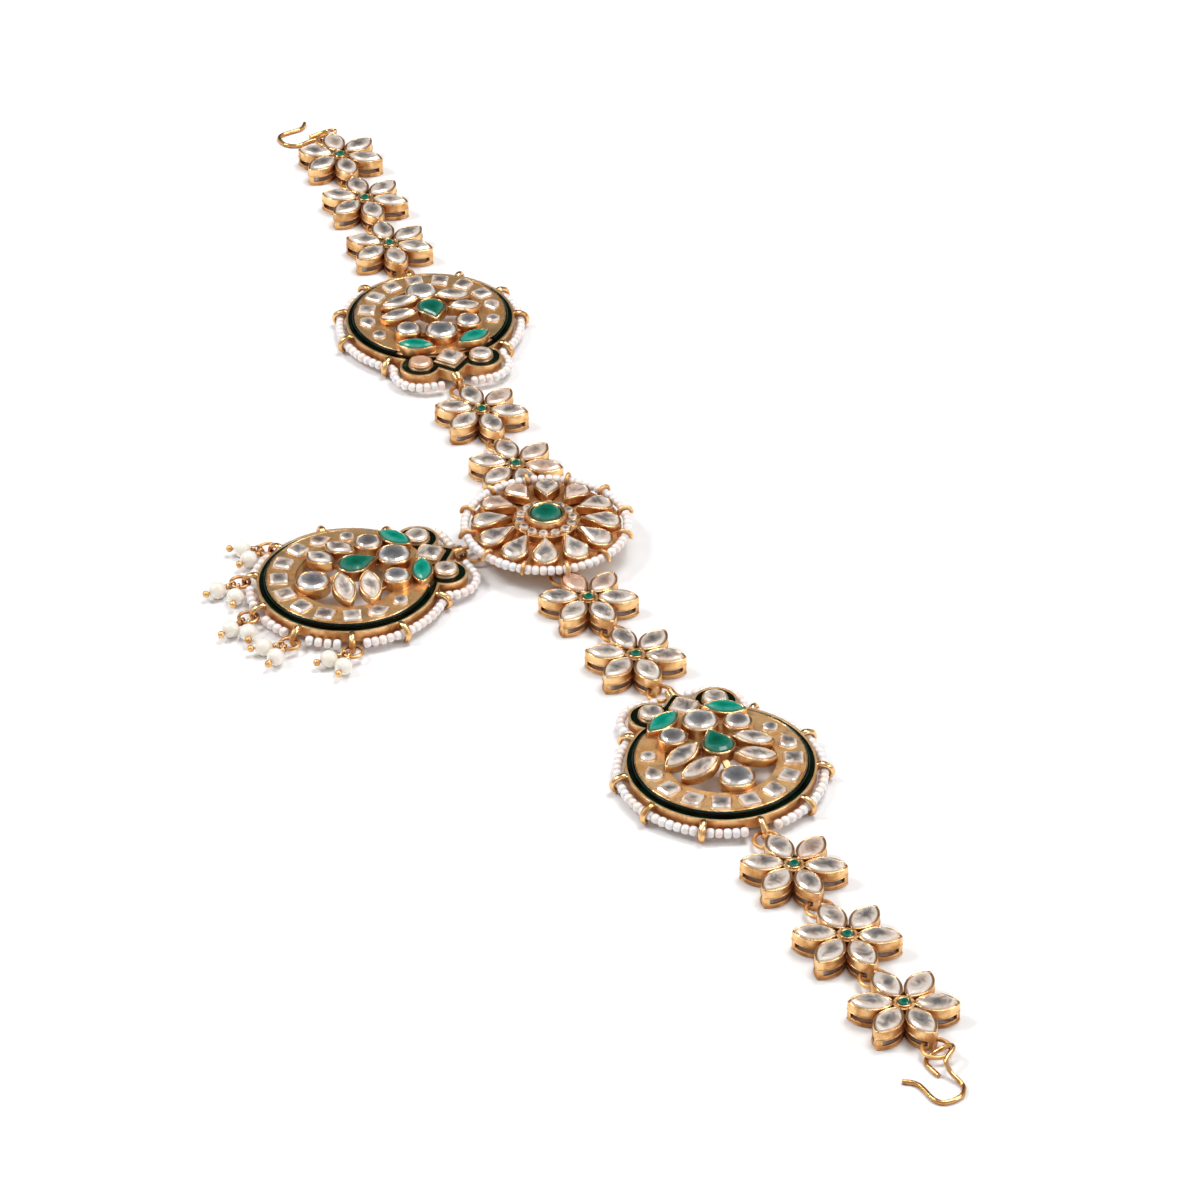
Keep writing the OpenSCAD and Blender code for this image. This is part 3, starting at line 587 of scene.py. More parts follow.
def run_tree(name, source, tree, values):
    holder = add_object(name + "_holder", source)
    modifier = holder.modifiers.new("nodes", "NODES")
    modifier.node_group = tree
    for item in tree.interface.items_tree:
        if item.in_out == "INPUT" and item.name in values:
            modifier[item.identifier] = values[item.name]
    graph = bpy.context.evaluated_depsgraph_get()
    mesh = bpy.data.meshes.new_from_object(
        holder.evaluated_get(graph), preserve_all_data_layers=True, depsgraph=graph)
    mesh.name = name
    bpy.data.objects.remove(holder)
    bpy.data.meshes.remove(source)
    return mesh


def keep(name, mesh, replaced=()):
    piece = add_object(name, mesh)
    if replaced:
        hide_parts(*replaced)
    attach(piece, "root")
    print(name, len(mesh.polygons), "faces")


def join_meshes(name, meshes):
    if len(meshes) == 1:
        return meshes[0]
    objects = [add_object(name, mesh) for mesh in meshes]
    with bpy.context.temp_override(active_object=objects[0], selected_editable_objects=objects):
        bpy.ops.object.join()
    mesh = objects[0].data
    bpy.data.objects.remove(objects[0])
    mesh.name = name
    return mesh


def solid_mesh(name, points, faces):
    mesh = bpy.data.meshes.new(name)
    mesh.from_pydata([Vector(p) * MM for p in points], [], faces)
    return mesh


def line_mesh(name, lines, closed):
    mesh = bpy.data.meshes.new(name)
    points, edges = [], []
    for line in lines:
        first = len(points)
        points += [Vector(p) * MM for p in line]
        edges += [(i, i + 1) for i in range(first, len(points) - 1)]
        if closed:
            edges.append((len(points) - 1, first))
    mesh.from_pydata(points, edges, [])
    return mesh


def point_mesh(name, places):
    mesh = bpy.data.meshes.new(name)
    mesh.from_pydata([place.to_translation() for place, _ in places], [], [])
    mesh.attributes.new("turn", "FLOAT_VECTOR", "POINT")
    mesh.attributes.new("tint", "FLOAT", "POINT")
    for i, (place, value) in enumerate(places):
        mesh.attributes["turn"].data[i].vector = place.to_euler()
        mesh.attributes["tint"].data[i].value = value
    return mesh


print("helpers for trees are ready")

# %% [markdown]
# Four ways to use the trees. A wire is swept along lines, or along one line that is then
# carried to its place. A piece is set at many places, each with its tint. Metal has no use
# for a tint, so it gets the same one everywhere.

# %% Wires and settings
PLAIN_TINT = 0.5
WIRE_SIDES = 8
THIN_SIDES = 6
THICK_SIDES = 10
HEAVY_SIDES = 12


def wire_mesh(name, lines, radius, sides, finish, closed=True):
    values = {"Radius": radius * MM, "Sides": sides, "Material": finish}
    return run_tree(name, line_mesh(name, lines, closed), wire_tree, values)


def set_pieces(name, mesh, places, finish, smooth=False):
    if not mesh.materials:
        mesh.materials.append(finish)
    tool = add_object(name + "_tool", mesh)
    values = {"Piece": tool, "Smooth": smooth, "Material": finish}
    result = run_tree(name, point_mesh(name, places), setting_tree, values)
    bpy.data.objects.remove(tool)
    return result


def keep_set(name, piece, places, marks, finish, replaced, smooth=False):
    mesh = set_pieces(name, piece, list(zip(places, marks)), finish, smooth)
    keep(name, mesh, replaced)


def keep_metal(name, piece, places, finish):
    keep_set(name, piece, places, [PLAIN_TINT] * len(places), finish, (), True)


def keep_lone_wire(name, line, radius, sides, finish, place, replaced=()):
    mesh = wire_mesh(name, [line], radius, sides, finish, closed=False)
    mesh.transform(place)
    keep(name, mesh, replaced)


print("wires have", THIN_SIDES, "to", HEAVY_SIDES, "sides")

# %% [markdown]
# The stones keep four outlines: the petal shape with two points, the pear, the square and
# the round. Each is a list of points in millimetres, with its length along X, and `grow`
# moves the outline outward, which gives the rim wire round the same stone.

# %% Outlines of the stones
MARQUISE_POINTS = 24
PEAR_POINTS = 23
ROUND_POINTS = 20
PEAR_TIP_GROWTH = 1.6
SQUARE_CORNER = 0.12


def marquise(length, width, grow=0.0, count=MARQUISE_POINTS):
    radius = (length ** 2 + width ** 2) / (4 * width)
    centre = radius - width / 2
    outer = radius + grow
    half = math.acos(centre / outer)
    points = []
    for side in (1, -1):
        for i in range(count // 2):
            a = half - 4 * half * i / count
            points.append((side * outer * math.sin(a), side * (outer * math.cos(a) - centre)))
    return points


def pear(length, width, grow=0.0, count=PEAR_POINTS):
    radius = width / 2
    centre = radius - length / 2
    touch = math.acos(radius / (length - radius))
    points = [(length / 2 + PEAR_TIP_GROWTH * grow, 0)]
    for i in range(count - 1):
        a = touch + (2 * math.pi - 2 * touch) * i / (count - 2)
        points.append((centre + (radius + grow) * math.cos(a), (radius + grow) * math.sin(a)))
    return points


def square(side, _width=0, grow=0.0):
    half = side / 2 + grow
    k = half - SQUARE_CORNER * side
    corners = [(half, -k), (half, k), (k, half), (-k, half)]
    return corners + [(-x, -y) for x, y in corners]


def circle(diameter, _width=0, grow=0.0, count=ROUND_POINTS):
    radius = diameter / 2 + grow
    angles = [2 * math.pi * i / count for i in range(count)]
    return [(radius * math.cos(a), radius * math.sin(a)) for a in angles]


def arc(radius, start, end, centre=(0, 0), step=3):
    count = max(2, math.ceil(abs(end - start) / step))
    angles = [math.radians(start + (end - start) * i / count) for i in range(count + 1)]
    return [(centre[0] + radius * math.cos(a), centre[1] + radius * math.sin(a)) for a in angles]


def at_height(outline, z):
    return [(x, y, z) for x, y in outline]


OUTLINES = {"marquise": marquise, "pear": pear, "square": square, "round": circle}
print("outlines:", ", ".join(OUTLINES))

# %% [markdown]
# A stone is turned and ground in belts. Ours has an upright girdle, two belts of facets and a
# flat table, all scaled copies of one outline. The attribute `edge` says how far out each
# point lies, and the table has a middle point so that the tone can change across it.

# %% Cut a stone
BELTS = [(1.0, 0.0), (1.0, 0.0), (0.92, 0.6), (0.74, 1.0)]


def ring_faces(rows, count):
    faces = []
    for row in range(rows - 1):
        for i in range(count):
            j = (i + 1) % count
            a, b = row * count, (row + 1) * count
            faces.append((a + i, a + j, b + j, b + i))
    return faces


def cut_stone(name, outline, girdle, crown):
    count = len(outline)
    points, edge = [], []
    for row, (scale, rise) in enumerate(BELTS):
        z = rise * crown + (girdle if row else 0)
        points += [(x * scale, y * scale, z) for x, y in outline]
        edge += [scale] * count
    middle = len(points)
    points.append((0, 0, girdle + crown))
    edge.append(0.0)
    top = middle - count
    table = [(top + i, top + (i + 1) % count, middle) for i in range(count)]
    back = [tuple(range(count - 1, -1, -1))]
    mesh = solid_mesh(name, points, back + ring_faces(len(BELTS), count) + table)
    layer = mesh.attributes.new("edge", "FLOAT", "POINT")
    layer.data.foreach_set("value", edge)
    return mesh


def anticlockwise(outline):
    follower = outline[1:] + outline[:1]
    area = sum(x0 * y1 - x1 * y0 for (x0, y0), (x1, y1) in zip(outline, follower))
    return outline if area > 0 else outline[::-1]


def make_stone(name, kind, length, width, girdle, crown):
    return cut_stone(name, anticlockwise(OUTLINES[kind](length, width)), girdle, crown)


print("a stone has", len(BELTS) - 1, "belts")

# %% [markdown]
# Places. The same values as in the part's source say where each link and medallion lies and
# how it is turned, so a stone lands in its own cup. A place is a 4 by 4 matrix in metres.

# %% Where links and medallions lie
LINKS = [(-176.4, 8.4, -3), (-153.6, 7.5, -1), (-130.6, 6.3, -3.6), (-52, 2.8, 2.2),
         (-27.6, 2.6, 0), (27.8, -0.2, 8.8), (51.4, 1.9, 3.3), (130.7, 6.2, 4.9),
         (155.2, 7.6, 5.3), (178.4, 9.8, 8.7)]
MEDALLIONS = {"left": (-94.5, 4.6, -4.7), "right": (93.65, 4.9, -178.4),
              "pendant": (3.2, -47.4, 97.3)}
PETALS = 6
PETAL_TIP = 11
PETAL_ROOT = 1.8
PETAL_WIDTH = 5.6
PETAL_MIDDLE = (PETAL_TIP + PETAL_ROOT) / 2
PETAL_LENGTH = PETAL_TIP - PETAL_ROOT
LINK_HEIGHT = 4.3
LINK_SEAT = 3.2
RIM = 0.4


def move(x, y, z=0.0):
    return Matrix.Translation(Vector((x, y, z)) * MM)


def spin(degrees, axis="Z"):
    return Matrix.Rotation(math.radians(degrees), 4, axis)


def link_place(i):
    x, y, turn = LINKS[i]
    return move(x, y) @ spin(turn)


def medallion_place(name):
    x, y, lobes = MEDALLIONS[name]
    return move(x, y) @ spin(lobes - 90)


PETAL_PLACES = [link_place(i) @ spin(360 * k / PETALS) @ move(PETAL_MIDDLE, 0, LINK_SEAT)
                for i in range(len(LINKS)) for k in range(PETALS)]
print(len(PETAL_PLACES), "petals on", len(LINKS), "links")

# %% [markdown]
# First the petals. Each holds a long pointed stone behind a thin bright rim, and two fine
# ridges run round the band below it. One stone and one rim are made, and the setting tree
# repeats them sixty times. A few stones, most of them near the rosette, show a peach side,
# a painted reflection of the gold.

# %% Petal stones
PETAL_STONE = (8.2, 4.75, 1.0, 0.75)
# Painted reflection: these petals get a high tint, which paints the peach reflection of the gold.
PEACH_PETALS = {33: 0.95, 32: 0.9, 3: 0.88, 20: 0.9, 25: 0.92, 44: 0.9, 26: 0.89}
PETAL_SEED = 3
TOP_OF_PLAIN_TINTS = 0.8


def tints(count, special, seed):
    draw = random.Random(seed)
    plain = [TOP_OF_PLAIN_TINTS * draw.random() for _ in range(count)]
    return [special.get(i, value) for i, value in enumerate(plain)]


def add_petal_stones():
    stone = make_stone("petal_stone", "marquise", *PETAL_STONE)
    marks = tints(len(PETAL_PLACES), PEACH_PETALS, PETAL_SEED)
    replaced = [f"flower_stones_{i + 1}" for i in range(len(LINKS))]
    keep_set("petal_stones", stone, PETAL_PLACES, marks, petal_crystal, replaced)


add_petal_stones()

# %% Petal rims and ridges
LIP_RADIUS = 0.21
RIDGE_RADIUS = 0.14
RIDGE_HEIGHTS = (2.45, 0.28)
RIM_POINTS = 32


def petal_line(grow, height):
    outline = marquise(PETAL_LENGTH, PETAL_WIDTH, grow, RIM_POINTS)
    return at_height(outline, height - LINK_SEAT)


def add_petal_wires():
    lip = [petal_line(-RIM / 2, LINK_HEIGHT)]
    ridges = [petal_line(0.0, z) for z in RIDGE_HEIGHTS]
    lip_mesh = wire_mesh("petal_lip", lip, LIP_RADIUS, WIRE_SIDES, bright_gold)
    ridge_mesh = wire_mesh("petal_ridge", ridges, RIDGE_RADIUS, THIN_SIDES, gold)
    keep_metal("petal_lips", lip_mesh, PETAL_PLACES, bright_gold)
    keep_metal("petal_ridges", ridge_mesh, PETAL_PLACES, gold)


add_petal_wires()

# %% Green link centres
CENTRE_STONE = (2.3, 2.3, 1.1, 0.5)
CENTRE_SEAT = 3.2
CENTRE_LIP = 0.24
CENTRE_LIP_GROWTH = 0.2
CENTRE_TINT = 0.3


def add_link_centres():
    diameter, _width, girdle, _crown = CENTRE_STONE
    stone = make_stone("centre_stone", "round", *CENTRE_STONE)
    places = [link_place(i) @ move(0, 0, CENTRE_SEAT) for i in range(len(LINKS))]
    keep_set("link_centre_stones", stone, places, [CENTRE_TINT] * len(places), deep_green,
             ["flower_centres"])
    ring = at_height(circle(diameter, grow=CENTRE_LIP_GROWTH), girdle)
    lip = wire_mesh("centre_lip", [ring], CENTRE_LIP, WIRE_SIDES, bright_gold)
    keep_metal("link_centre_lips", lip, places, bright_gold)


add_link_centres()

# %% [markdown]
# A medallion is a dome of raised cups over a flat crescent of sunk stones. Each row below is
# one stone of the right half, and a mirrored copy makes the left half, as the maker's mould
# does. Rows give the kind, the place, the turn, the length and width, the height of the
# cup's rim above the ground and how far it slopes toward its tip.

# %% Stones of a medallion
GROUND = 5.2
CUP_HOLLOW = 1.1
CUP_WALL = 0.45
CLEAR_MIDDLE = [("round", 0, 11.2, 0, 6.9, 6.9, 2.2, 0), ("round", 0, -8.5, 0, 6.9, 6.9, 1.3, 0)]
CLEAR_SIDES = [("round", 7.35, 8.3, 0, 5.4, 5.4, 1.95, 0),
               ("marquise", 8.1, 1.65, -16, 8.3, 4.2, 2.05, 13),
               ("marquise", 6.4, -3.85, -9, 8.6, 4.2, 2.15, 13)]
GREEN_MIDDLE = [("pear", 0, 2.4, 90, 8.4, 6.2, 2.85, 0)]
GREEN_SIDES = [("marquise", 7.05, 14.65, -26, 8.5, 4, 1.4, 2)]
CHANNEL_RADIUS = 15.2
CHANNEL_STEP = 22.8
SUNK_KINDS = ("square", "square", "square", "square", "pear", "round")
SUNK_SIZES = {"square": (4.1, 4.1), "pear": (5, 3.9), "round": (3.4, 3.4)}
SUNK_SEAT = 4.7
LOBE_GEM = (7.3, 20.3, 5.0)
RHOMB_GEM = (0, 19.8, 5.0)


def raised(row, side):
    kind, x, y, turn, length, width, rise, slope = row
    angle = turn if side > 0 else 180 - turn
    place = move(side * x, y, GROUND + rise) @ spin(angle) @ spin(slope, "Y")
    return kind, length, width, place


def mirrored(rows):
    return [raised(row, side) for row in rows for side in (1, -1)]


def channel_stone(k):
    kind = SUNK_KINDS[abs(k)]
    turn = math.copysign(90, k) if kind == "pear" else 0
    place = spin(CHANNEL_STEP * k - 90) @ move(CHANNEL_RADIUS, 0, GROUND) @ spin(turn)
    return (kind, *SUNK_SIZES[kind], place)


def sunk():
    last = len(SUNK_KINDS) - 1
    found = [channel_stone(k) for k in range(-last, last + 1)]
    x, y, size = LOBE_GEM
    found += [("round", size, size, move(side * x, y, GROUND)) for side in (-1, 1)]
    x, y, size = RHOMB_GEM
    return found + [("square", size, size, move(x, y, GROUND) @ spin(45))]


RAISED_CLEAR = [raised(row, 1) for row in CLEAR_MIDDLE] + mirrored(CLEAR_SIDES)
RAISED_PEAR = [raised(row, 1) for row in GREEN_MIDDLE]
RAISED_LONG = mirrored(GREEN_SIDES)
SUNK = sunk()
print("on each medallion:", len(RAISED_CLEAR), "raised clear stones,", len(SUNK), "sunk ones and",
      len(RAISED_PEAR + RAISED_LONG), "green ones")

# %% Set the stones of one medallion
LARGE_ROUND = 5.2
RAISED_CUT = (1.0, 0.8)
SUNK_CUT = (0.5, 0.6)
STONE_SEEDS = {"left": 5, "right": 15, "pendant": 25}
# Painted reflection: a high tint paints the peach reflection of the gold on that stone.
PEACH_SUNK = {"left": {12: 0.97}, "right": {}, "pendant": {}}


def finish_of_stone(kind, length, finish):
    large = kind == "round" and length >= LARGE_ROUND
    return petal_crystal if finish == crystal and not large else finish


def stones_mesh(name, stones, home, depth, cut, finish, marks):
    meshes = []
    for (kind, length, width, place), mark in zip(stones, marks):
        stone = make_stone(name + "_cut", kind, length, width, *cut)
        spot = home @ place @ move(0, 0, -depth)
        own_finish = finish_of_stone(kind, length, finish)
        meshes.append(set_pieces(name, stone, [(spot, mark)], own_finish))
    return join_meshes(name, meshes)


def raised_mesh(name, stones, home, finish, seed):
    marks = tints(len(stones), {}, seed)
    return stones_mesh(name, stones, home, CUP_HOLLOW, RAISED_CUT, finish, marks)


def add_medallion_stones(name):
    home, seed = medallion_place(name), STONE_SEEDS[name]
    high = raised_mesh(name + "_raised", RAISED_CLEAR, home, crystal, seed)
    marks = tints(len(SUNK), PEACH_SUNK[name], seed + 1)
    low = stones_mesh(name + "_sunk", SUNK, home, GROUND - SUNK_SEAT, SUNK_CUT, crystal, marks)
    clear = join_meshes(name + "_clear_stones", [high, low])
    keep(name + "_clear_stones", clear, [name + "_crystals"])
    long_ones = raised_mesh(name + "_long", RAISED_LONG, home, milky_green, seed)
    middle = raised_mesh(name + "_pear", RAISED_PEAR, home, deep_green, seed)
    green = join_meshes(name + "_green_stones", [long_ones, middle])
    keep(name + "_green_stones", green, [name + "_emeralds"])


for name in MEDALLIONS:
    add_medallion_stones(name)

# %% [markdown]
# Goldsmiths rub the edge of each cup over its stone, which leaves a soft bright lip. A wire
# along the same outline, a little larger, gives that lip on the raised cups, and a thinner
# one marks the edge of each sunk stone. On the side away from the lobes the ground ends in a
# bright lip too, and the enamel creeps up to it in a rounded edge, as melted glass does.

# %% Lips of the cups and the ground
CUP_LIP = 0.22
SUNK_LIP = 0.15
GROUND_EDGE = 17.95
GROUND_LIP = 0.16
ENAMEL_EDGE = 18.22
ENAMEL_EDGE_HEIGHT = 4.72
ENAMEL_EDGE_RADIUS = 0.38
AWAY_FROM_LOBES = (130, 410)


def lip_lines(stones, home, grow):
    lines = []
    for kind, length, width, place in stones:
        outline = OUTLINES[kind](length, width, grow=grow)
        lines.append([(home @ place @ Vector((x * MM, y * MM, 0))) / MM for x, y in outline])
    return lines


def keep_lips(name, stones, home, grow, radius, sides, finish):
    keep(name, wire_mesh(name, lip_lines(stones, home, grow), radius, sides, finish))


def add_lips(name):
    home = medallion_place(name)
    cups = RAISED_CLEAR + RAISED_PEAR + RAISED_LONG
    keep_lips(name + "_cup_lips", cups, home, CUP_WALL / 2, CUP_LIP, WIRE_SIDES, bright_gold)
    keep_lips(name + "_sunk_lips", SUNK, home, SUNK_LIP, SUNK_LIP, THIN_SIDES, gold)
    rim = at_height(arc(GROUND_EDGE, *AWAY_FROM_LOBES), GROUND - GROUND_LIP / 2)
    keep_lone_wire(name + "_ground_lip", rim, GROUND_LIP, WIRE_SIDES, bright_gold, home)
    rim = at_height(arc(ENAMEL_EDGE, *AWAY_FROM_LOBES), ENAMEL_EDGE_HEIGHT)
    keep_lone_wire(name + "_enamel_edge", rim, ENAMEL_EDGE_RADIUS, HEAVY_SIDES, enamel,
                   home)


for name in MEDALLIONS:
    add_lips(name)

# %% [markdown]
# The rosette stands highest. Twelve pear stones lean outward round a ring of small round
# ones, and a deep green stone sits in a tall collar in the middle.

# %% Rosette stones
PEAR_COUNT = 12
PEAR_SIZE = (8, 5.2)
PEAR_CUT = (1.0, 0.8)
PEAR_RING = 12.4
PEAR_RISE = 7.15
PEAR_TURN = 9.65
PEAR_SLOPE = 9
# Painted reflection: a high tint paints the peach reflection of the gold on these pears.
PEAR_PEACH = {4: 0.9, 6: 0.93, 7: 0.91}
PEAR_SEED = 21
ROUND_COUNT = 14
ROUND_STONE = (2.15, 0, 0.7, 0.5)
ROUND_RING = 5.9
ROUND_SEAT = 6.5
ROUND_SEED = 8
MIDDLE_STONE = (6.8, 0, 1.6, 0.9)
MIDDLE_SEAT = 7.0


def pear_place(k):
    outward = spin(PEAR_TURN + 360 * k / PEAR_COUNT) @ move(PEAR_RING, 0, PEAR_RISE)
    return outward @ spin(PEAR_SLOPE, "Y") @ spin(180)


def round_place(k, z):
    return spin(360 * k / ROUND_COUNT) @ move(ROUND_RING, 0, z)


def add_rosette_stones():
    pears = [pear_place(k) @ move(0, 0, -CUP_HOLLOW) for k in range(PEAR_COUNT)]
    rounds = [round_place(k, ROUND_SEAT) for k in range(ROUND_COUNT)]
    pear_stone = make_stone("rosette_pear", "pear", *PEAR_SIZE, *PEAR_CUT)
    marks = tints(PEAR_COUNT, PEAR_PEACH, PEAR_SEED)
    keep_set("rosette_pear_stones", pear_stone, pears, marks, petal_crystal,
             ["rosette_pears"])
    round_stone = make_stone("rosette_round", "round", *ROUND_STONE)
    marks = tints(ROUND_COUNT, {}, ROUND_SEED)
    keep_set("rosette_round_stones", round_stone, rounds, marks, petal_crystal,
             ["rosette_rounds"])
    middle = make_stone("middle_stone", "round", *MIDDLE_STONE)
    keep_set("rosette_middle_stone", middle, [move(0, 0, MIDDLE_SEAT)], [PLAIN_TINT], deep_green,
             ["rosette_emerald"])


add_rosette_stones()

# %% Rosette lips
ROUND_LIP_HEIGHT = 7.15
ROUND_LIP_GROWTH = 0.14
ROUND_LIP = 0.16
COLLAR_TOP = 8.6
COLLAR_GROWTH = 0.6
COLLAR_LIP = 0.5


def add_rosette_lips():
    here = Matrix()
    pears = [("pear", *PEAR_SIZE, pear_place(k)) for k in range(PEAR_COUNT)]
    rounds = [("round", ROUND_STONE[0], 0, round_place(k, ROUND_LIP_HEIGHT))
              for k in range(ROUND_COUNT)]
    collar = [("round", MIDDLE_STONE[0], 0, move(0, 0, COLLAR_TOP))]
    keep_lips("rosette_pear_lips", pears, here, CUP_WALL / 2, CUP_LIP, WIRE_SIDES, bright_gold)
    keep_lips("rosette_round_lips", rounds, here, ROUND_LIP_GROWTH, ROUND_LIP, THIN_SIDES,
              bright_gold)
    keep_lips("rosette_collar_lip", collar, here, COLLAR_GROWTH, COLLAR_LIP, THICK_SIDES,
              bright_gold)


add_rosette_lips()

# %% [markdown]
# Strings of seed beads follow each border, held by wire claws. The line of each string is
# made of an arc, a loop round the lobe and a short run to the middle, and it breaks where a
# ring hooks on. The string of the rosette is a circle. The bead is a small barrel of only ten
# sides and five belts, since it is repeated nearly three hundred times.

# %% Bead strings
STRING_RADIUS = 21.6
STRING_HEIGHT = 2.2
BEAD_RADIUS = 1.13
BEAD_HALF = 0.86
BEAD_PITCH = 1.74
BEAD_SIDES = 10
BEAD_PROFILE = [(0.4, -1.0), (0.78, -0.85), (0.97, -0.35), (0.97, 0.35), (0.78, 0.85), (0.4, 1.0)]
LOBE_CENTRE = (7.3, 20.6)
LOBE_STRING = 6.4
LOBE_TURN = (-30, 95)
LOBE_STEP = 6
STRING_TURN = 50
STRING_END = (4, 27)
RING_GAP = 2.9
DROP_GAP = 2.4
STRING_GAPS = {"left": ([-90], RING_GAP), "right": ([-90], RING_GAP),
               "pendant": ([-90, -57, -23], DROP_GAP)}
ROSETTE_STRING = (18.2, 5.7)
ROSETTE_TURN = (0, 357)
ROSETTE_SEED = 9


def make_bead():
    points = [(x, y, z * BEAD_HALF) for r, z in BEAD_PROFILE
              for x, y in circle(2 * r * BEAD_RADIUS, count=BEAD_SIDES)]
    start = tuple(range(BEAD_SIDES - 1, -1, -1))
    end = tuple(range(len(points) - BEAD_SIDES, len(points)))
    return solid_mesh("seed_bead", points, ring_faces(len(BEAD_PROFILE), BEAD_SIDES) + [start, end])


def string_lines(gaps, free):
    spare = math.degrees(math.asin((free + BEAD_HALF) / STRING_RADIUS))
    lines = [arc(STRING_RADIUS, a + spare, b - spare) for a, b in zip(gaps, gaps[1:])]
    lines.append(arc(STRING_RADIUS, gaps[-1] + spare, STRING_TURN)
                 + arc(LOBE_STRING, *LOBE_TURN, LOBE_CENTRE, LOBE_STEP) + [STRING_END])
    mirror = [[(-x, y) for x, y in line] for line in lines]
    return [at_height(line, STRING_HEIGHT) for line in lines + mirror]


def thread_beads(name, lines, seed, closed=False):
    tool = add_object(name + "_tool", make_bead())
    values = {"Bead": tool, "Pitch": BEAD_PITCH * MM, "Seed": seed, "Material": bead_lustre}
    mesh = run_tree(name, line_mesh(name, lines, closed), bead_tree, values)
    bpy.data.objects.remove(tool)
    return mesh


def add_beads():
    for number, (name, (gaps, free)) in enumerate(STRING_GAPS.items()):
        mesh = thread_beads(name + "_seed_beads", string_lines(gaps, free), number + 1)
        mesh.transform(medallion_place(name))
        keep(name + "_seed_beads", mesh, [name + "_beads"])
    radius, height = ROSETTE_STRING
    ring = [at_height(arc(radius, *ROSETTE_TURN), height)]
    mesh = thread_beads("rosette_seed_beads", ring, ROSETTE_SEED, closed=True)
    keep("rosette_seed_beads", mesh, ["rosette_beads"])


add_beads()

# %% [markdown]
# A claw is soldered to the top edge of the border and bends over the beads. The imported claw
# is a round wire that starts lower, in the border's flank. The real one is a flat strap, so
# a wider wire laid over it here carries it up to the edge.

# %% Straps of the claws
CLAWS = (48, 9, -23, -57, -90, -123, -157, 171, 132)
CLAW_LINE = [(20.15, 3.9), (20.5, 4.1), (21.0, 4.15), (21.6, 4.0), (22.3, 3.7), (22.9, 3.15),
             (23.2, 2.5), (23.2, 1.9), (22.95, 1.3), (22.6, 0.95)]
CLAW_WIRE = 0.54
CLAW_WIDE = 1.45


def add_claw_roots():
    line = [(along, 0, up) for along, up in CLAW_LINE]
    mesh = wire_mesh("claw_root", [line], CLAW_WIRE, THICK_SIDES, bright_gold, closed=False)
    mesh.transform(Matrix.Diagonal((1, CLAW_WIDE, 1, 1)))
    places = [medallion_place(name) @ spin(turn) for name in MEDALLIONS for turn in CLAWS]
    keep_metal("claw_roots", mesh, places, bright_gold)


add_claw_roots()

# %% [markdown]
# Five rings on the pendant each carry two pearls on wire pins. A pearl is a ball with a bore
# along its pin, set by the setting tree. The end of each pin is wound round its own shaft,
# and that winding is a helix swept by the wire tree.

# %% Where the drops lie
DROPS = [(-157, (-118, -72)), (-123, (-85, -35)), (-90, (-68, -24)), (-57, (-57, -105)),
         (-23, (-90, -46))]
DROP_RING_IN = 24.1
PEARL_RADIUS = 1.95
PEARL_AT = 5.7
PEARL_BORE = 0.35


def drop_places():
    home = medallion_place("pendant")
    found = []
    for claw, turns in DROPS:
        ring = home @ spin(claw) @ move(DROP_RING_IN, 0, PEARL_RADIUS) @ spin(-claw)
        found += [ring @ spin(turn) for turn in turns]
    return found


DROP_PLACES = drop_places()
print(len(DROP_PLACES), "drops")

# %% Fringe pearls
PEARL_RINGS = 16
PEARL_SIDES = 28
PEARL_SEED = 17


def make_pearl():
    hole = math.asin(PEARL_BORE / PEARL_RADIUS)
    points = []
    for row in range(PEARL_RINGS + 1):
        a = hole + (math.pi - 2 * hole) * row / PEARL_RINGS
        ring = circle(2 * PEARL_RADIUS * math.sin(a), count=PEARL_SIDES)
        points += [(-PEARL_RADIUS * math.cos(a), y, z) for y, z in ring]
    skin = [(b, a, d, c) for a, b, c, d in ring_faces(PEARL_RINGS + 1, PEARL_SIDES)]
    start = tuple(range(PEARL_SIDES))
    end = tuple(range(len(points) - 1, len(points) - 1 - PEARL_SIDES, -1))
    return solid_mesh("fringe_pearl", points, skin + [start, end])


def add_pearls():
    places = [place @ move(PEARL_AT, 0, 0) for place in DROP_PLACES]
    marks = tints(len(places), {}, PEARL_SEED)
    keep_set("fringe_pearls", make_pearl(), places, marks, pearl_lustre, ["drop_pearls"],
             True)


add_pearls()

# %% Wound wire of the pins
WIND_SPAN = (2.75, 3.75)
WIND_RADII = (0.52, 0.52)
WIND_TURNS = 3
WIND_WIRE = 0.17
WIND_POINTS = 14


def helix(span, radii, turns):
    count = turns * WIND_POINTS
    points = []
    for i in range(count + 1):
        t = i / count
        a = 2 * math.pi * turns * t
        wide = radii[0] + (radii[1] - radii[0]) * t
        along = span[0] + (span[1] - span[0]) * t
        points.append((along, wide * math.cos(a), wide * math.sin(a)))
    return points


def add_pin_windings():
    coil = helix(WIND_SPAN, WIND_RADII, WIND_TURNS)
    mesh = wire_mesh("pin_winding", [coil], WIND_WIRE, THIN_SIDES, bright_gold, closed=False)
    keep_metal("pin_windings", mesh, DROP_PLACES, bright_gold)


add_pin_windings()

# %% [markdown]
# Beyond the middle lobe of each medallion a thin wire is wound round the little strap that
# holds the ring. The winding narrows outward.

# %% Wound wire beyond the lobes
STRAP_SPAN = (25.5, 28.0)
STRAP_RADII = (1.25, 0.95)
STRAP_HEIGHT = 3.3
STRAP_TURNS = 6
STRAP_WIRE = 0.25
STRAP_FLAT = 0.72


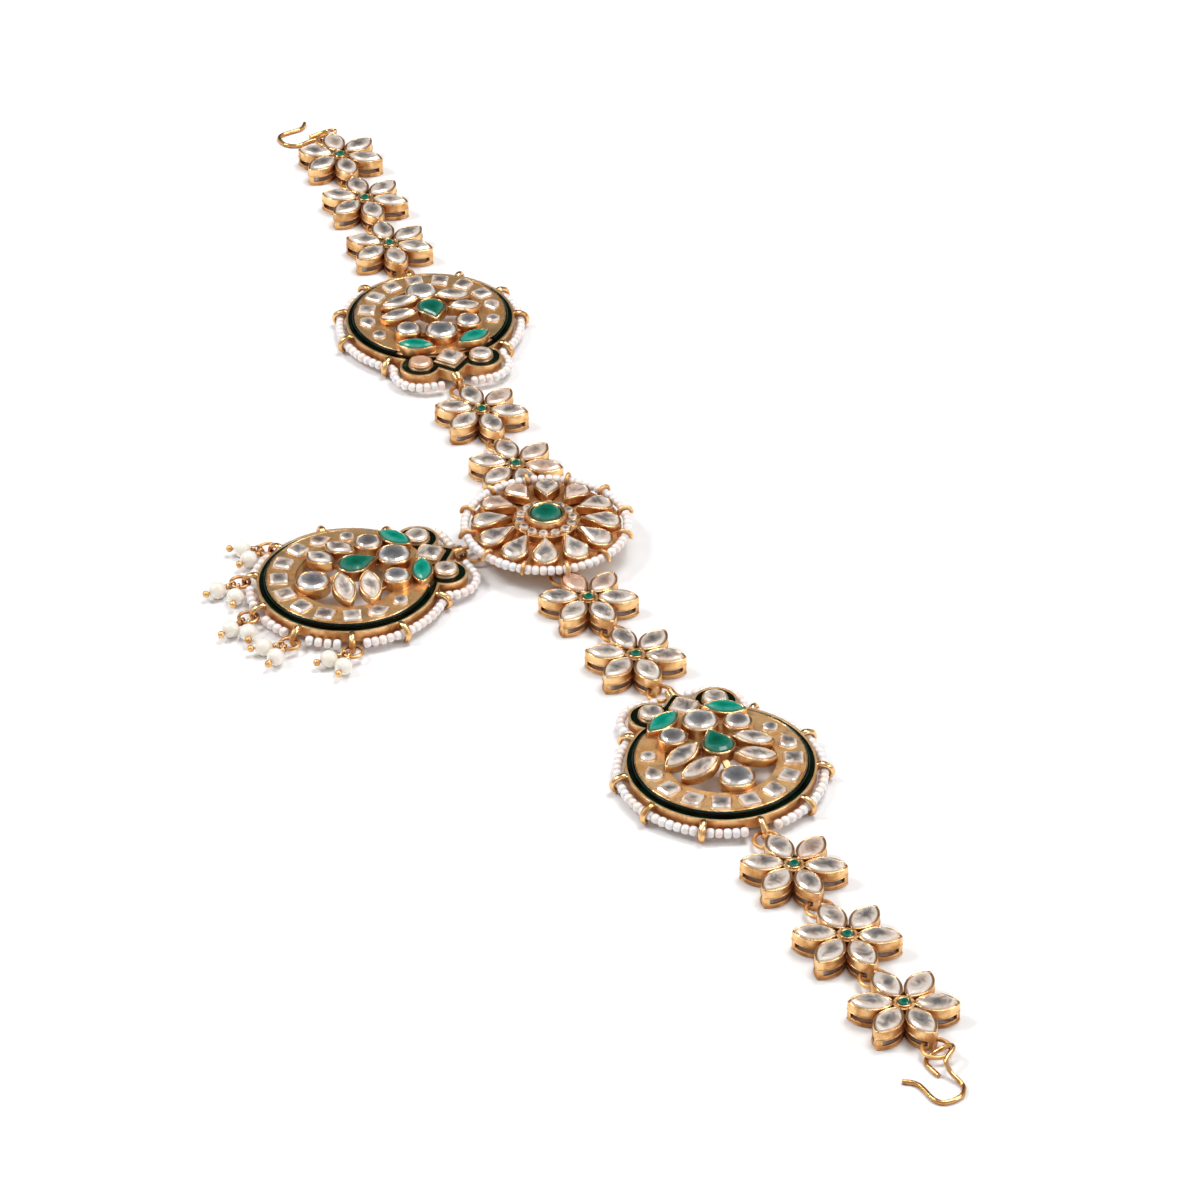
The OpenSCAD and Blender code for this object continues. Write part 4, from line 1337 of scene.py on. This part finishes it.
def add_strap_windings():
    coil = helix(STRAP_SPAN, STRAP_RADII, STRAP_TURNS)
    line = [(across, along, STRAP_HEIGHT + STRAP_FLAT * up) for along, across, up in coil]
    mesh = wire_mesh("strap_winding", [line], STRAP_WIRE, WIRE_SIDES, bright_gold, closed=False)
    keep_metal("strap_windings", mesh, [medallion_place(name) for name in MEDALLIONS], bright_gold)


add_strap_windings()

# %% [markdown]
# Each end of the band has a hook bent from one piece of wire: an eye that holds the last
# ring, and a wide bend for the hair. The line of points is smoothed, as the wire's own
# springiness does, and swept by the wire tree.

# %% Hooks
HOOK_RADIUS = 0.5
HOOK_LINE = [(-0.7, -1.1), (-4.4, -1.9), (-6.2, -1.2), (-6.8, 0.3), (-6.4, 2.4), (-5.4, 3.6),
             (-4, 3.1), (-2.1, 0.9), (0.1, 1), (2.9, 2), (4.4, 1.9), (6.1, 0.7), (6.9, -1.5),
             (6.7, -3.6), (5.2, -4.8), (2, -5.4), (0.5, -5.8), (-0.6, -6.7), (-1.6, -8.4)]
RIGHT_RISE = [0, 0, 0, 0.2, 1.5, 2.45, 2.55, 2.15, 0.9, 0.1]
LEFT_RISE = [0, 0.2, 0.8, 1.6, 2.45, 1.3, 0.1]
HOOKS = [("right_hook", (197.5, 10.4, 0), RIGHT_RISE), ("left_hook", (-192.7, 5, -90), LEFT_RISE)]
HOOK_STEPS = 6


def smooth_line(points):
    result = []
    for i in range(len(points) - 1):
        a, b = points[max(i - 1, 0)], points[i]
        c, d = points[i + 1], points[min(i + 2, len(points) - 1)]
        for k in range(HOOK_STEPS):
            t = k / HOOK_STEPS
            result.append(0.5 * (2 * b + (c - a) * t + (2 * a - 5 * b + 4 * c - d) * t ** 2
                                 + (3 * b - a - 3 * c + d) * t ** 3))
    return result + [points[-1]]


def add_hooks():
    for node, (x, y, turn), rise in HOOKS:
        heights = rise + [0] * (len(HOOK_LINE) - len(rise))
        points = [Vector((px, py, z + HOOK_RADIUS)) for (px, py), z in zip(HOOK_LINE, heights)]
        line = [Vector((p.x, p.y, max(p.z, HOOK_RADIUS))) for p in smooth_line(points)]
        keep_lone_wire(node + "_wire", line, HOOK_RADIUS, HEAVY_SIDES, bright_gold,
                       move(x, y) @ spin(turn), [node])


add_hooks()
